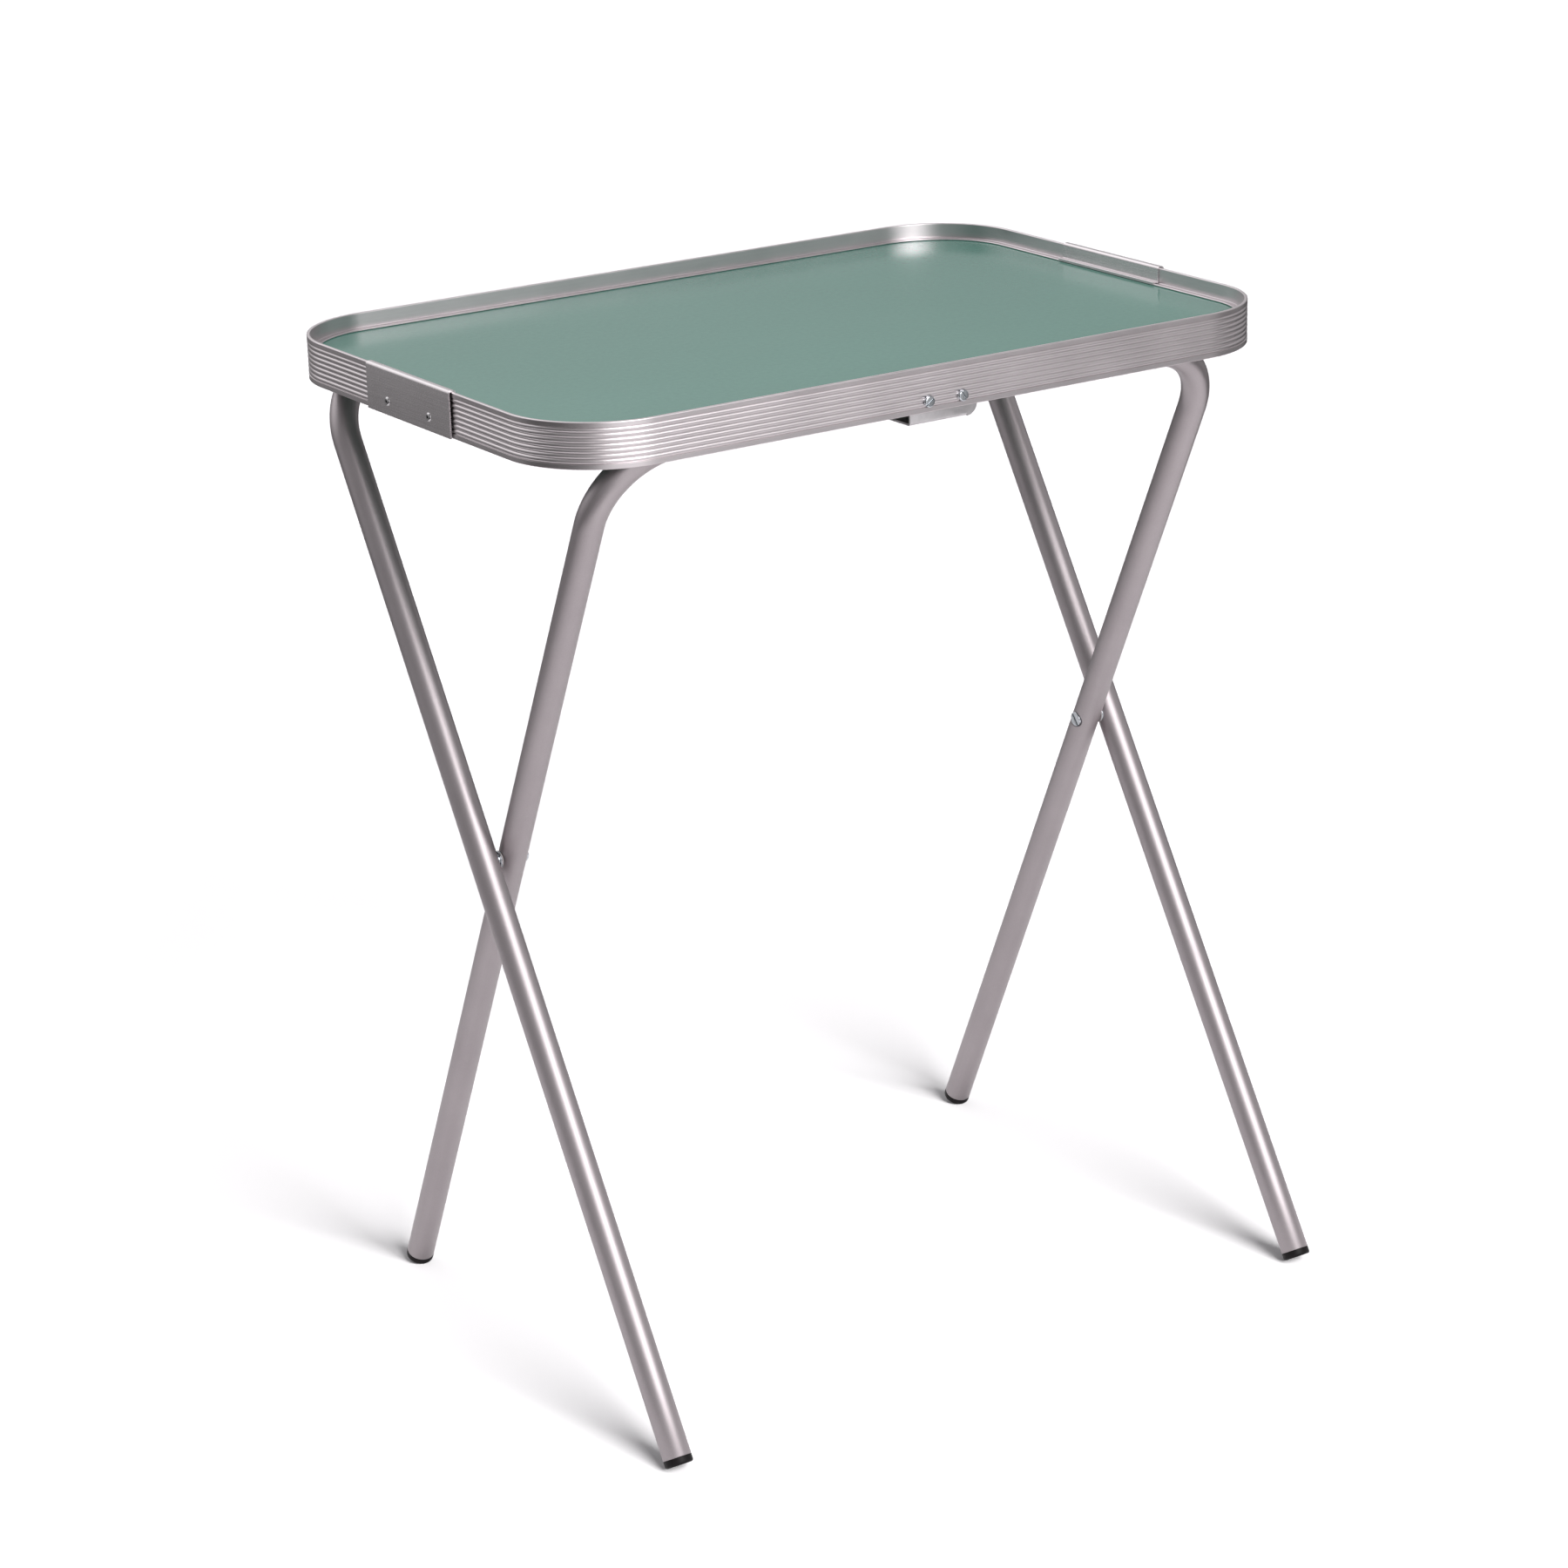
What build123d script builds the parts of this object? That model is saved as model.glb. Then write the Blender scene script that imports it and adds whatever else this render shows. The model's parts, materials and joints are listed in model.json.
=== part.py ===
from build123d import *
import math
import os

os.makedirs("parts", exist_ok=True)

# ---------------------------------------------------------------------------
# Folding side table: a laminate tray board in a ribbed aluminium rim, carried
# by two U-shaped tube frames that cross and pivot like scissors.
# Millimetres.  +X along the long side, -Y the front with the catch, +Z up,
# origin on the floor under the middle of the whole table.
# ---------------------------------------------------------------------------

# --- table top ---
length = 600.0            # rim, outside, along X
width = 400.0             # rim, outside, along Y
corner_r = 70.0           # rim corner, outside
rim_top_z = 724.0         # top edge of the rim above the floor
rim_h = 31.5              # rim height
rim_t = 2.5               # rim wall
rib_count = 7             # ribs on the outer face
rib_chord = 3.05          # width of one rib
rib_gap = 0.42            # flat groove between ribs
rib_h = 0.75              # rib height
band_top = 3.6            # plain band above the ribs
ledge_z = 11.2            # ledge top, below the rim's top edge
ledge_t = 1.0
ledge_in = 7.6            # ledge inner edge from the rim's outer face
board_t = 4.0             # whole board
laminate_t = 0.6          # coloured sheet on top
backing_t = 0.4           # balancing sheet below
board_edge = 2.8          # board edge from the rim's outer face
lip_t = 1.0               # lower lip under the board

# --- joint clips over the rim's two joints ---
clip_len = 114.0
clip_t = 1.2
clip_gap = 1.0            # outer leg stands off the ribs
clip_rivet_y = 28.5
clip_rivet_z = 21.8       # below the rim's top edge
rivet_head_d = 6.4
rivet_head_h = 1.1
rivet_shank_d = 3.2

# --- tube frames ---
tube_d = 20.4
tube_wall = 1.2
bend_r = 58.0             # centre line
bar_z = 27.0              # crossbar axis below the rim's top edge
outer_x = 276.2           # leg axes of the outer frame
inner_x = 253.6           # leg axes of the inner frame
top_line_y = 187.0        # where both leg lines meet the rim's top level
outer_slope = 0.6156      # run over rise
inner_slope = 0.4669

# --- feet ---
foot_cap = 5.5            # visible length of the plug
foot_round = 1.8
spigot_len = 20.0

# --- pivots ---
screw_d = 6.0
screw_hole_d = 6.1
pivot_head_d = 10.8
pivot_head_h = 2.1
pivot_head_gap = 0.3
pocket_d = 11.6           # pressed pocket in the inner leg that the head sits in
pocket_depth = 2.3
pocket_wall = 1.0
insert_flange_d = 12.0
insert_flange_t = 1.0
insert_body_d = 8.9
washer_t = 0.8

# --- sheet brackets ---
sheet_t = 1.5
catch_half = 28.0
catch_depth = 38.0
catch_bottom = 39.6       # below the rim's top edge
catch_corner_r = 8.5
rim_screw_d = 4.0
rim_screw_head_d = 8.0
rim_screw_head_h = 2.2
rim_screw_z = 24.0        # below the rim's top edge
nut_af = 7.0
nut_h = 3.2
catch_screw_x = 14.0
strap_x = 165.0
strap_w = 34.0
strap_screw_x = 10.0
liner_t = 1.25
running = 0.05            # radial clearance in the liners

# ---------------------------------------------------------------------------
# derived positions, in a frame centred on the top and standing on the floor
# ---------------------------------------------------------------------------
r = tube_d / 2


def zt(d):
    """height of a level that lies d below the rim's top edge"""
    return rim_top_z - d


th_o = math.atan(outer_slope)
th_i = math.atan(inner_slope)


def outer_y(z):
    return top_line_y - outer_slope * (rim_top_z - z)


def inner_y(z):
    return -top_line_y + inner_slope * (rim_top_z - z)


bar_level = zt(bar_z)
outer_bar_y = outer_y(bar_level)
inner_bar_y = inner_y(bar_level)
pivot_drop = 2 * top_line_y / (outer_slope + inner_slope)
pivot_z = zt(pivot_drop)
pivot_y = outer_y(pivot_z)


def foot_end_z(th):
    """height of the plug's end on the tube axis when its rounded edge stands on the floor"""
    return foot_round - foot_round * math.cos(th) + (r - foot_round) * math.sin(th)


def solid_of(obj):
    """one clean solid"""
    s = obj.solids()
    assert len(s) == 1, len(s)
    return s[0]


parts = {}

# ---------------------------------------------------------------------------
# rim: an extrusion profile carried round half of the rounded rectangle
# ---------------------------------------------------------------------------


def rim_profile_points():
    """(u, z) outline, u inward from the outer face and z up, 0 at the top edge"""
    lines = []
    p = [0.0, -0.7]

    def line(u, z):
        lines.append(Line((p[0], p[1]), (u, z)))
        p[0], p[1] = u, z

    def arc(m, e):
        lines.append(ThreePointArc((p[0], p[1]), m, e))
        p[0], p[1] = e

    line(0.0, -band_top)
    line(rib_h, -band_top - 0.25)
    z = -band_top - 0.25
    for i in range(rib_count):
        arc((0.0, z - rib_chord / 2), (rib_h, z - rib_chord))
        z -= rib_chord
        if i < rib_count - 1:
            line(rib_h, z - rib_gap)
            z -= rib_gap
    line(0.0, z - 0.25)
    line(0.0, -rim_h + 0.5)
    arc((0.146, -rim_h + 0.146), (0.5, -rim_h))
    line(rim_t - 0.5, -rim_h)
    arc((rim_t - 0.146, -rim_h + 0.146), (rim_t, -rim_h + 0.5))
    zb = -ledge_z - ledge_t - board_t
    line(rim_t, zb - lip_t)
    line(ledge_in - 0.5, zb - lip_t)
    arc((ledge_in, zb - lip_t / 2), (ledge_in - 0.5, zb))
    line(rim_t, zb)
    line(rim_t, -ledge_z - ledge_t)
    line(ledge_in - 0.5, -ledge_z - ledge_t)
    arc((ledge_in, -ledge_z - 0.35), (ledge_in - 0.6, -ledge_z + 0.25))
    line(ledge_in - 1.2, -ledge_z)
    line(rim_t + 0.5, -ledge_z)
    arc((rim_t + 0.146, -ledge_z + 0.146), (rim_t, -ledge_z + 0.5))
    line(rim_t, -0.6)
    arc((rim_t - 0.176, -0.176), (rim_t - 0.6, 0.0))
    line(0.7, 0.0)
    arc((0.205, -0.205), (0.0, -0.7))
    return lines


def rim_half(side):
    """side -1 is the front half, +1 the rear half"""
    face = make_face(Wire(rim_profile_points()))
    hx, hy = length / 2, width / 2
    cx, cy = hx - corner_r, hy - corner_r
    y0 = 0.1                      # hairline at the joint, under the clip
    m = corner_r * (1 - math.sqrt(0.5))
    path = Wire(
        [
            Line((-hx, -y0, 0), (-hx, -cy, 0)),
            ThreePointArc((-hx, -cy, 0), (-hx + m, -hy + m, 0), (-cx, -hy, 0)),
            Line((-cx, -hy, 0), (cx, -hy, 0)),
            ThreePointArc((cx, -hy, 0), (hx - m, -hy + m, 0), (hx, -cy, 0)),
            Line((hx, -cy, 0), (hx, -y0, 0)),
        ]
    )
    # profile plane at the path's start: local x inward (+X), local y up
    pl = Plane(origin=(-hx, -y0, 0), x_dir=(1, 0, 0), z_dir=(0, -1, 0))
    body = sweep(sections=pl * face, path=path, transition=Transition.TRANSFORMED)
    body = solid_of(body)
    body = Pos(0, 0, rim_top_z) * body
    if side > 0:
        body = Rot(0, 0, 180) * body
    return body


def screw_hole_y(x, y, z, d, depth, sgn):
    """a hole along Y, entering at y and going inward (sgn = +1 from the front)"""
    c = Cylinder(d / 2, depth, align=(Align.CENTER, Align.CENTER, Align.CENTER))
    return Pos(x, y + sgn * depth / 2, z) * Rot(90, 0, 0) * c


rim_front = rim_half(-1)
rim_rear = rim_half(+1)

for sx in (-1, 1):
    rim_front -= screw_hole_y(sx * catch_screw_x, -width / 2 - 2, zt(rim_screw_z), rim_screw_d + 0.2, 8, 1)
for cx in (-strap_x, strap_x):
    for sx in (-1, 1):
        rim_rear -= screw_hole_y(cx + sx * strap_screw_x, width / 2 + 2, zt(rim_screw_z), rim_screw_d + 0.2, 8, -1)


def rivet_hole(sx, y):
    c = Cylinder(rivet_shank_d / 2 + 0.05, 12)
    return Pos(sx * length / 2, y, zt(clip_rivet_z)) * Rot(0, 90, 0) * c


for sx in (-1, 1):
    rim_front -= rivet_hole(sx, -clip_rivet_y)
    rim_rear -= rivet_hole(sx, clip_rivet_y)

parts["rim_front"] = solid_of(rim_front)
parts["rim_rear"] = solid_of(rim_rear)

# ---------------------------------------------------------------------------
# board: core, coloured laminate above, balancing sheet below
# ---------------------------------------------------------------------------


def slab(inset, z_low, t):
    s = RectangleRounded(length - 2 * inset, width - 2 * inset, corner_r - inset)
    return solid_of(Pos(0, 0, z_low) * extrude(s, t))


board_top = zt(ledge_z + ledge_t)
parts["top_laminate"] = slab(board_edge, board_top - laminate_t, laminate_t)
parts["top_board"] = slab(board_edge, board_top - board_t + backing_t, board_t - laminate_t - backing_t)
parts["backing_sheet"] = slab(board_edge, board_top - board_t, backing_t)

# ---------------------------------------------------------------------------
# joint clips: sheet folded over the rim, down to the ledge inside
# ---------------------------------------------------------------------------


def clip(side):
    t = clip_t
    g = clip_gap
    ri, ro = 0.9, 2.1
    k = 1 - math.sqrt(0.5)
    zf = -ledge_z + 0.26          # the inner foot lies on the ledge's bead
    fin = ledge_in + 0.6
    e = [
        Line((-g, -rim_h), (-g, -ri)),
        ThreePointArc((-g, -ri), (-g + ri * k, -ri * k), (-g + ri, 0)),
        Line((-g + ri, 0), (rim_t - 0.6, 0)),
        ThreePointArc((rim_t - 0.6, 0), (rim_t - 0.6 * k, -0.6 * k), (rim_t, -0.6)),
        Line((rim_t, -0.6), (rim_t, zf + 1.0)),
        ThreePointArc((rim_t, zf + 1.0), (rim_t + 1.0 * k, zf + 1.0 * k), (rim_t + 1.0, zf)),
        Line((rim_t + 1.0, zf), (fin - 0.3, zf)),
        ThreePointArc((fin - 0.3, zf), (fin - 0.3 * k, zf + 0.3 * k), (fin, zf + 0.3)),
        Line((fin, zf + 0.3), (fin, zf + t - 0.3)),
        ThreePointArc((fin, zf + t - 0.3), (fin - 0.3 * k, zf + t - 0.3 * k), (fin - 0.3, zf + t)),
        Line((fin - 0.3, zf + t), (rim_t + t + 0.4, zf + t)),
        ThreePointArc((rim_t + t + 0.4, zf + t), (rim_t + t + 0.4 * k, zf + t + 0.4 * k), (rim_t + t, zf + t + 0.4)),
        Line((rim_t + t, zf + t + 0.4), (rim_t + t, t - 1.8)),
        ThreePointArc((rim_t + t, t - 1.8), (rim_t + t - 1.8 * k, t - 1.8 * k), (rim_t + t - 1.8, t)),
        Line((rim_t + t - 1.8, t), (-g - t + ro, t)),
        ThreePointArc((-g - t + ro, t), (-g - t + ro * k, t - ro * k), (-g - t, t - ro)),
        Line((-g - t, t - ro), (-g - t, -rim_h)),
        Line((-g - t, -rim_h), (-g, -rim_h)),
    ]
    f = make_face(Wire(e))
    pl = Plane(origin=(-length / 2, clip_len / 2, rim_top_z), x_dir=(1, 0, 0), z_dir=(0, -1, 0))
    c = extrude(pl * f, clip_len)
    for y in (-clip_rivet_y, clip_rivet_y):
        c -= rivet_hole(-1, y)
    if side > 0:
        c = Rot(0, 0, 180) * c
    return solid_of(c)


def rivet(side, y):
    """hollow blind rivet: domed head outside, upset tail inside"""
    d = rivet_head_d
    h = rivet_head_h
    grip = clip_t + clip_gap + rim_t + 0.02
    prof = make_face(
        Wire(
            [
                Line((1.1, -0.4), (1.1, h)),
                Line((1.1, h), (1.5, h)),
                ThreePointArc((1.5, h), (2.65, h * 0.72), (d / 2, 0)),
                Line((d / 2, 0), (rivet_shank_d / 2, 0)),
                Line((rivet_shank_d / 2, 0), (rivet_shank_d / 2, -grip)),
                Line((rivet_shank_d / 2, -grip), (2.4, -grip)),
                Line((2.4, -grip), (2.5, -grip - 1.4)),
                Line((2.5, -grip - 1.4), (1.5, -grip - 2.6)),
                Line((1.5, -grip - 2.6), (0, -grip - 2.6)),
                Line((0, -grip - 2.6), (0, -0.4)),
                Line((0, -0.4), (1.1, -0.4)),
            ]
        )
    )
    b = revolve(Plane.XZ * prof, Axis.Z)
    # local +Z points outward
    return solid_of(
        Pos(side * (length / 2 + clip_gap + clip_t), y, zt(clip_rivet_z)) * Rot(0, side * 90, 0) * b
    )


for side, nm in ((-1, "left"), (1, "right")):
    parts["joint_clip_" + nm] = clip(side)
    parts["clip_rivets_" + nm] = [rivet(side, -clip_rivet_y), rivet(side, clip_rivet_y)]

# ---------------------------------------------------------------------------
# screws and nuts that hold the brackets to the rim
# ---------------------------------------------------------------------------


def slotted_screw(d, head_d, head_h, shank, slot_w, slot_d, edge, slot_deg):
    """head above z = 0, shank below; slot turned slot_deg from local X"""
    head = Cylinder(head_d / 2, head_h, align=(Align.CENTER, Align.CENTER, Align.MIN))
    top = head.edges().filter_by(GeomType.CIRCLE).sort_by(Axis.Z)[-1]
    head = fillet(top, edge)
    stem = Pos(0, 0, 0) * Cylinder(d / 2, shank, align=(Align.CENTER, Align.CENTER, Align.MAX))
    end = stem.edges().filter_by(GeomType.CIRCLE).sort_by(Axis.Z)[0]
    stem = chamfer(end, 0.5)
    s = head + stem
    slot = Pos(0, 0, head_h - slot_d / 2 + 0.5) * Rot(0, 0, slot_deg) * Box(head_d + 2, slot_w, slot_d + 1)
    return solid_of(s - slot)


def hex_nut(d, af, h):
    n = extrude(RegularPolygon(af / 2, 6, major_radius=False), h)
    n = n & Cylinder(af * 0.56, h, align=(Align.CENTER, Align.CENTER, Align.MIN))
    n -= Cylinder(d / 2, 3 * h)
    return solid_of(n)


def rim_screw(x, sgn, slot_deg):
    """sgn = -1 on the front face, +1 on the rear face"""
    s = slotted_screw(rim_screw_d, rim_screw_head_d, rim_screw_head_h, rim_t + sheet_t + nut_h + 1.4, 1.1, 1.1, 0.9, slot_deg)
    rot = Rot(90, 0, 0) if sgn < 0 else Rot(-90, 0, 0)
    return Pos(x, sgn * width / 2, zt(rim_screw_z)) * rot * s


def rim_nut(x, sgn):
    n = hex_nut(rim_screw_d + 0.02, nut_af, nut_h)
    rot = Rot(90, 0, 0) if sgn < 0 else Rot(-90, 0, 0)
    return Pos(x, sgn * (width / 2 - rim_t - sheet_t - nut_h), zt(rim_screw_z)) * rot * n


parts["catch_screws"] = [rim_screw(-catch_screw_x, -1, 35), rim_screw(catch_screw_x, -1, -55)]
parts["catch_nuts"] = [rim_nut(-catch_screw_x, -1), rim_nut(catch_screw_x, -1)]
for nm, cx in (("left", -strap_x), ("right", strap_x)):
    parts["strap_screws_" + nm] = [rim_screw(cx - strap_screw_x, 1, 20), rim_screw(cx + strap_screw_x, 1, -40)]
    parts["strap_nuts_" + nm] = [rim_nut(cx - strap_screw_x, 1), rim_nut(cx + strap_screw_x, 1)]

# ---------------------------------------------------------------------------
# front catch: flange behind the rim, plate under the front crossbar
# ---------------------------------------------------------------------------
fy = -width / 2 + rim_t                     # flange front face
flange_top = zt(ledge_z + ledge_t + board_t + lip_t + 0.6)
flange_bot = zt(catch_bottom)
flange = Pos(0, fy + sheet_t / 2, (flange_top + flange_bot) / 2) * Box(
    2 * catch_half, sheet_t, flange_top - flange_bot
)
low_right = (
    flange.edges().filter_by(Axis.Y).sort_by(Axis.Z)[:2].sort_by(Axis.X)[-1]
)
flange = fillet(low_right, catch_corner_r)
plate_x0, plate_x1 = -catch_half, catch_half - catch_corner_r
bend_out = 2.3                              # outside radius of the bend
flange -= Pos((plate_x0 + plate_x1) / 2, fy + sheet_t / 2, flange_bot) * Box(
    plate_x1 - plate_x0, 3 * sheet_t, 2 * bend_out
)
kk = 1 - math.sqrt(0.5)
bi = bend_out - sheet_t
bent = make_face(
    Wire(
        [
            Line((fy, flange_bot + bend_out + 4), (fy, flange_bot + bend_out)),
            ThreePointArc((fy, flange_bot + bend_out), (fy + bend_out * kk, flange_bot + bend_out * kk), (fy + bend_out, flange_bot)),
            Line((fy + bend_out, flange_bot), (fy + catch_depth, flange_bot)),
            Line((fy + catch_depth, flange_bot), (fy + catch_depth, flange_bot + sheet_t)),
            Line((fy + catch_depth, flange_bot + sheet_t), (fy + bend_out, flange_bot + sheet_t)),
            ThreePointArc((fy + bend_out, flange_bot + sheet_t), (fy + sheet_t + bi * kk, flange_bot + sheet_t + bi * kk), (fy + sheet_t, flange_bot + bend_out)),
            Line((fy + sheet_t, flange_bot + bend_out), (fy + sheet_t, flange_bot + bend_out + 4)),
            Line((fy + sheet_t, flange_bot + bend_out + 4), (fy, flange_bot + bend_out + 4)),
        ]
    )
)
plate = extrude(Plane(origin=(plate_x0, 0, 0), x_dir=(0, 1, 0), z_dir=(1, 0, 0)) * bent, plate_x1 - plate_x0)
rear_corners = plate.edges().filter_by(Axis.Z).sort_by(Axis.Y)[-2:]
plate = fillet(rear_corners, 5.0)
catch = flange + plate
for sx in (-1, 1):
    catch -= screw_hole_y(sx * catch_screw_x, fy - 2, zt(rim_screw_z), rim_screw_d + 0.2, 8, 1)
parts["front_catch"] = solid_of(catch)

# ---------------------------------------------------------------------------
# rear hinge straps: flange behind the rim, saddle under the rear crossbar,
# and the plastic liner that the crossbar turns in
# ---------------------------------------------------------------------------
ri_l = r + running                 # liner bore
ro_l = ri_l + liner_t              # liner outside, saddle inside
ro_s = ro_l + sheet_t              # saddle outside
ry, rz = outer_bar_y, bar_level    # crossbar axis
web_top = rz - 6.6                 # web between flange and saddle
web_bot = web_top - sheet_t
fr = width / 2 - rim_t             # flange rear face


def strap(cx):
    yi = ry + math.sqrt(ro_l ** 2 - (rz - web_top) ** 2)
    yo = ry + math.sqrt(ro_s ** 2 - (rz - web_bot) ** 2)
    up = zt(ledge_z + ledge_t + board_t + 0.5)
    e = [
        Line((fr, flange_top), (fr, web_bot + 1.5)),
        ThreePointArc((fr, web_bot + 1.5), (fr - 1.5 * (1 - math.sqrt(0.5)), web_bot + 1.5 * (1 - math.sqrt(0.5))), (fr - 1.5, web_bot)),
        Line((fr - 1.5, web_bot), (yo, web_bot)),
        ThreePointArc((yo, web_bot), (ry, rz - ro_s), (ry - ro_s, rz)),
        Line((ry - ro_s, rz), (ry - ro_s, up)),
        Line((ry - ro_s, up), (ry - ro_l, up)),
        Line((ry - ro_l, up), (ry - ro_l, rz)),
        ThreePointArc((ry - ro_l, rz), (ry, rz - ro_l), (yi, web_top)),
        Line((yi, web_top), (fr - sheet_t, web_top)),
        Line((fr - sheet_t, web_top), (fr - sheet_t, flange_top)),
        Line((fr - sheet_t, flange_top), (fr, flange_top)),
    ]
    f = make_face(Wire(e))
    pl = Plane(origin=(cx - strap_w / 2, 0, 0), x_dir=(0, 1, 0), z_dir=(1, 0, 0))
    s = extrude(pl * f, strap_w)
    for sx in (-1, 1):
        s -= screw_hole_y(cx + sx * strap_screw_x, fr + 2, zt(rim_screw_z), rim_screw_d + 0.2, 8, -1)
    return solid_of(s)


def liner(cx):
    a = math.radians(22)

    def pt(rad, ang):
        return (ry + rad * math.cos(ang), rz + rad * math.sin(ang))

    e = [
        Line(pt(ri_l, a), pt(ro_l, a)),
        ThreePointArc(pt(ro_l, a), pt(ro_l, -math.pi / 2), pt(ro_l, math.pi - a)),
        Line(pt(ro_l, math.pi - a), pt(ri_l, math.pi - a)),
        ThreePointArc(pt(ri_l, math.pi - a), pt(ri_l, -math.pi / 2), pt(ri_l, a)),
    ]
    f = make_face(Wire(e))
    pl = Plane(origin=(cx - strap_w / 2 - 1.0, 0, 0), x_dir=(0, 1, 0), z_dir=(1, 0, 0))
    return solid_of(extrude(pl * f, strap_w + 2.0))


for nm, cx in (("left", -strap_x), ("right", strap_x)):
    parts["hinge_strap_" + nm] = strap(cx)
    parts["hinge_liner_" + nm] = liner(cx)

# ---------------------------------------------------------------------------
# leg frames: one bent tube each, two legs and a crossbar
# ---------------------------------------------------------------------------


def leg_frame(x_leg, bar_y, lean, th):
    """lean = -1 when the legs run to the front going down, +1 to the rear"""
    down = Vector(0, lean * math.sin(th), -math.cos(th))
    corner = Vector(x_leg, bar_y, bar_level)
    end_z = foot_end_z(th)
    leg_len = (bar_level - end_z) / math.cos(th) - foot_cap
    k = bend_r * (1 - math.sqrt(0.5))

    def at(x, s):
        return Vector(x, bar_y, bar_level) + down * s

    pts = [
        at(-x_leg, leg_len),
        at(-x_leg, bend_r),
        at(-x_leg + k, k),
        at(-x_leg + bend_r, 0),
        at(x_leg - bend_r, 0),
        at(x_leg - k, k),
        at(x_leg, bend_r),
        at(x_leg, leg_len),
    ]
    path = Wire(
        [
            Line(pts[0], pts[1]),
            ThreePointArc(pts[1], pts[2], pts[3]),
            Line(pts[3], pts[4]),
            ThreePointArc(pts[4], pts[5], pts[6]),
            Line(pts[6], pts[7]),
        ]
    )
    start = Plane(origin=pts[0], x_dir=(1, 0, 0), z_dir=-down)
    ring = Circle(r) - Circle(r - tube_wall)
    body = sweep(sections=start * ring, path=path, transition=Transition.TRANSFORMED)
    return solid_of(body), down, leg_len


outer_tube, outer_down, outer_len = leg_frame(outer_x, outer_bar_y, -1, th_o)
inner_tube, inner_down, inner_len = leg_frame(inner_x, inner_bar_y, 1, th_i)

leg_axis = Plane(origin=(0, pivot_y, pivot_z), x_dir=(1, 0, 0), z_dir=inner_down)
for sx in (-1, 1):
    # inner frame: a pressed pocket on the inward side of each leg, and a plain
    # hole right through
    crest = inner_x - r
    envelope = Pos(sx * inner_x, 0, 0) * (leg_axis * Cylinder(r, 60))
    cup_len = pocket_depth + pocket_wall
    cup = Pos(sx * (crest + cup_len / 2), pivot_y, pivot_z) * Rot(0, 90, 0) * Cylinder(pocket_d / 2 + pocket_wall, cup_len)
    inner_tube += cup & envelope
    inner_tube -= Pos(sx * (crest + pocket_depth / 2 - 1), pivot_y, pivot_z) * Rot(0, 90, 0) * Cylinder(pocket_d / 2, pocket_depth + 2)
    inner_tube -= Pos(sx * inner_x, pivot_y, pivot_z) * Rot(0, 90, 0) * Cylinder(screw_hole_d / 2, tube_d + 4)
    # outer frame: hole in the inward wall only
    outer_tube -= Pos(sx * (outer_x - r / 2 - 1), pivot_y, pivot_z) * Rot(0, 90, 0) * Cylinder(insert_body_d / 2 + 0.05, r + 2)

parts["outer_leg_frame"] = solid_of(outer_tube)
parts["inner_leg_frame"] = solid_of(inner_tube)

# ---------------------------------------------------------------------------
# plastic feet pushed into the tube ends
# ---------------------------------------------------------------------------


def foot(x, bar_y, down, leg_len):
    cap = Cylinder(r, foot_cap, align=(Align.CENTER, Align.CENTER, Align.MIN))
    rim_edge = cap.edges().filter_by(GeomType.CIRCLE).sort_by(Axis.Z)[-1]
    cap = fillet(rim_edge, foot_round)
    sp = Cylinder(r - tube_wall - 0.02, spigot_len, align=(Align.CENTER, Align.CENTER, Align.MAX))
    sp = chamfer(sp.edges().filter_by(GeomType.CIRCLE).sort_by(Axis.Z)[0], 1.0)
    sp -= Cylinder(r - tube_wall - 2.2, spigot_len + 1, align=(Align.CENTER, Align.CENTER, Align.MAX))
    f = cap + sp
    o = Vector(x, bar_y, bar_level) + down * leg_len
    return solid_of(Plane(origin=o, x_dir=(1, 0, 0), z_dir=down) * f)


for nm, sx in (("left", -1), ("right", 1)):
    parts["outer_foot_" + nm] = foot(sx * outer_x, outer_bar_y, outer_down, outer_len)
    parts["inner_foot_" + nm] = foot(sx * inner_x, inner_bar_y, inner_down, inner_len)

# ---------------------------------------------------------------------------
# pivots: screw from inside, washer, threaded insert in the outer leg
# ---------------------------------------------------------------------------
slot_turn = 39.5                   # slot direction from vertical towards the rear
face_in = outer_x - r              # crest of the outer leg on its inward side


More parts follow.
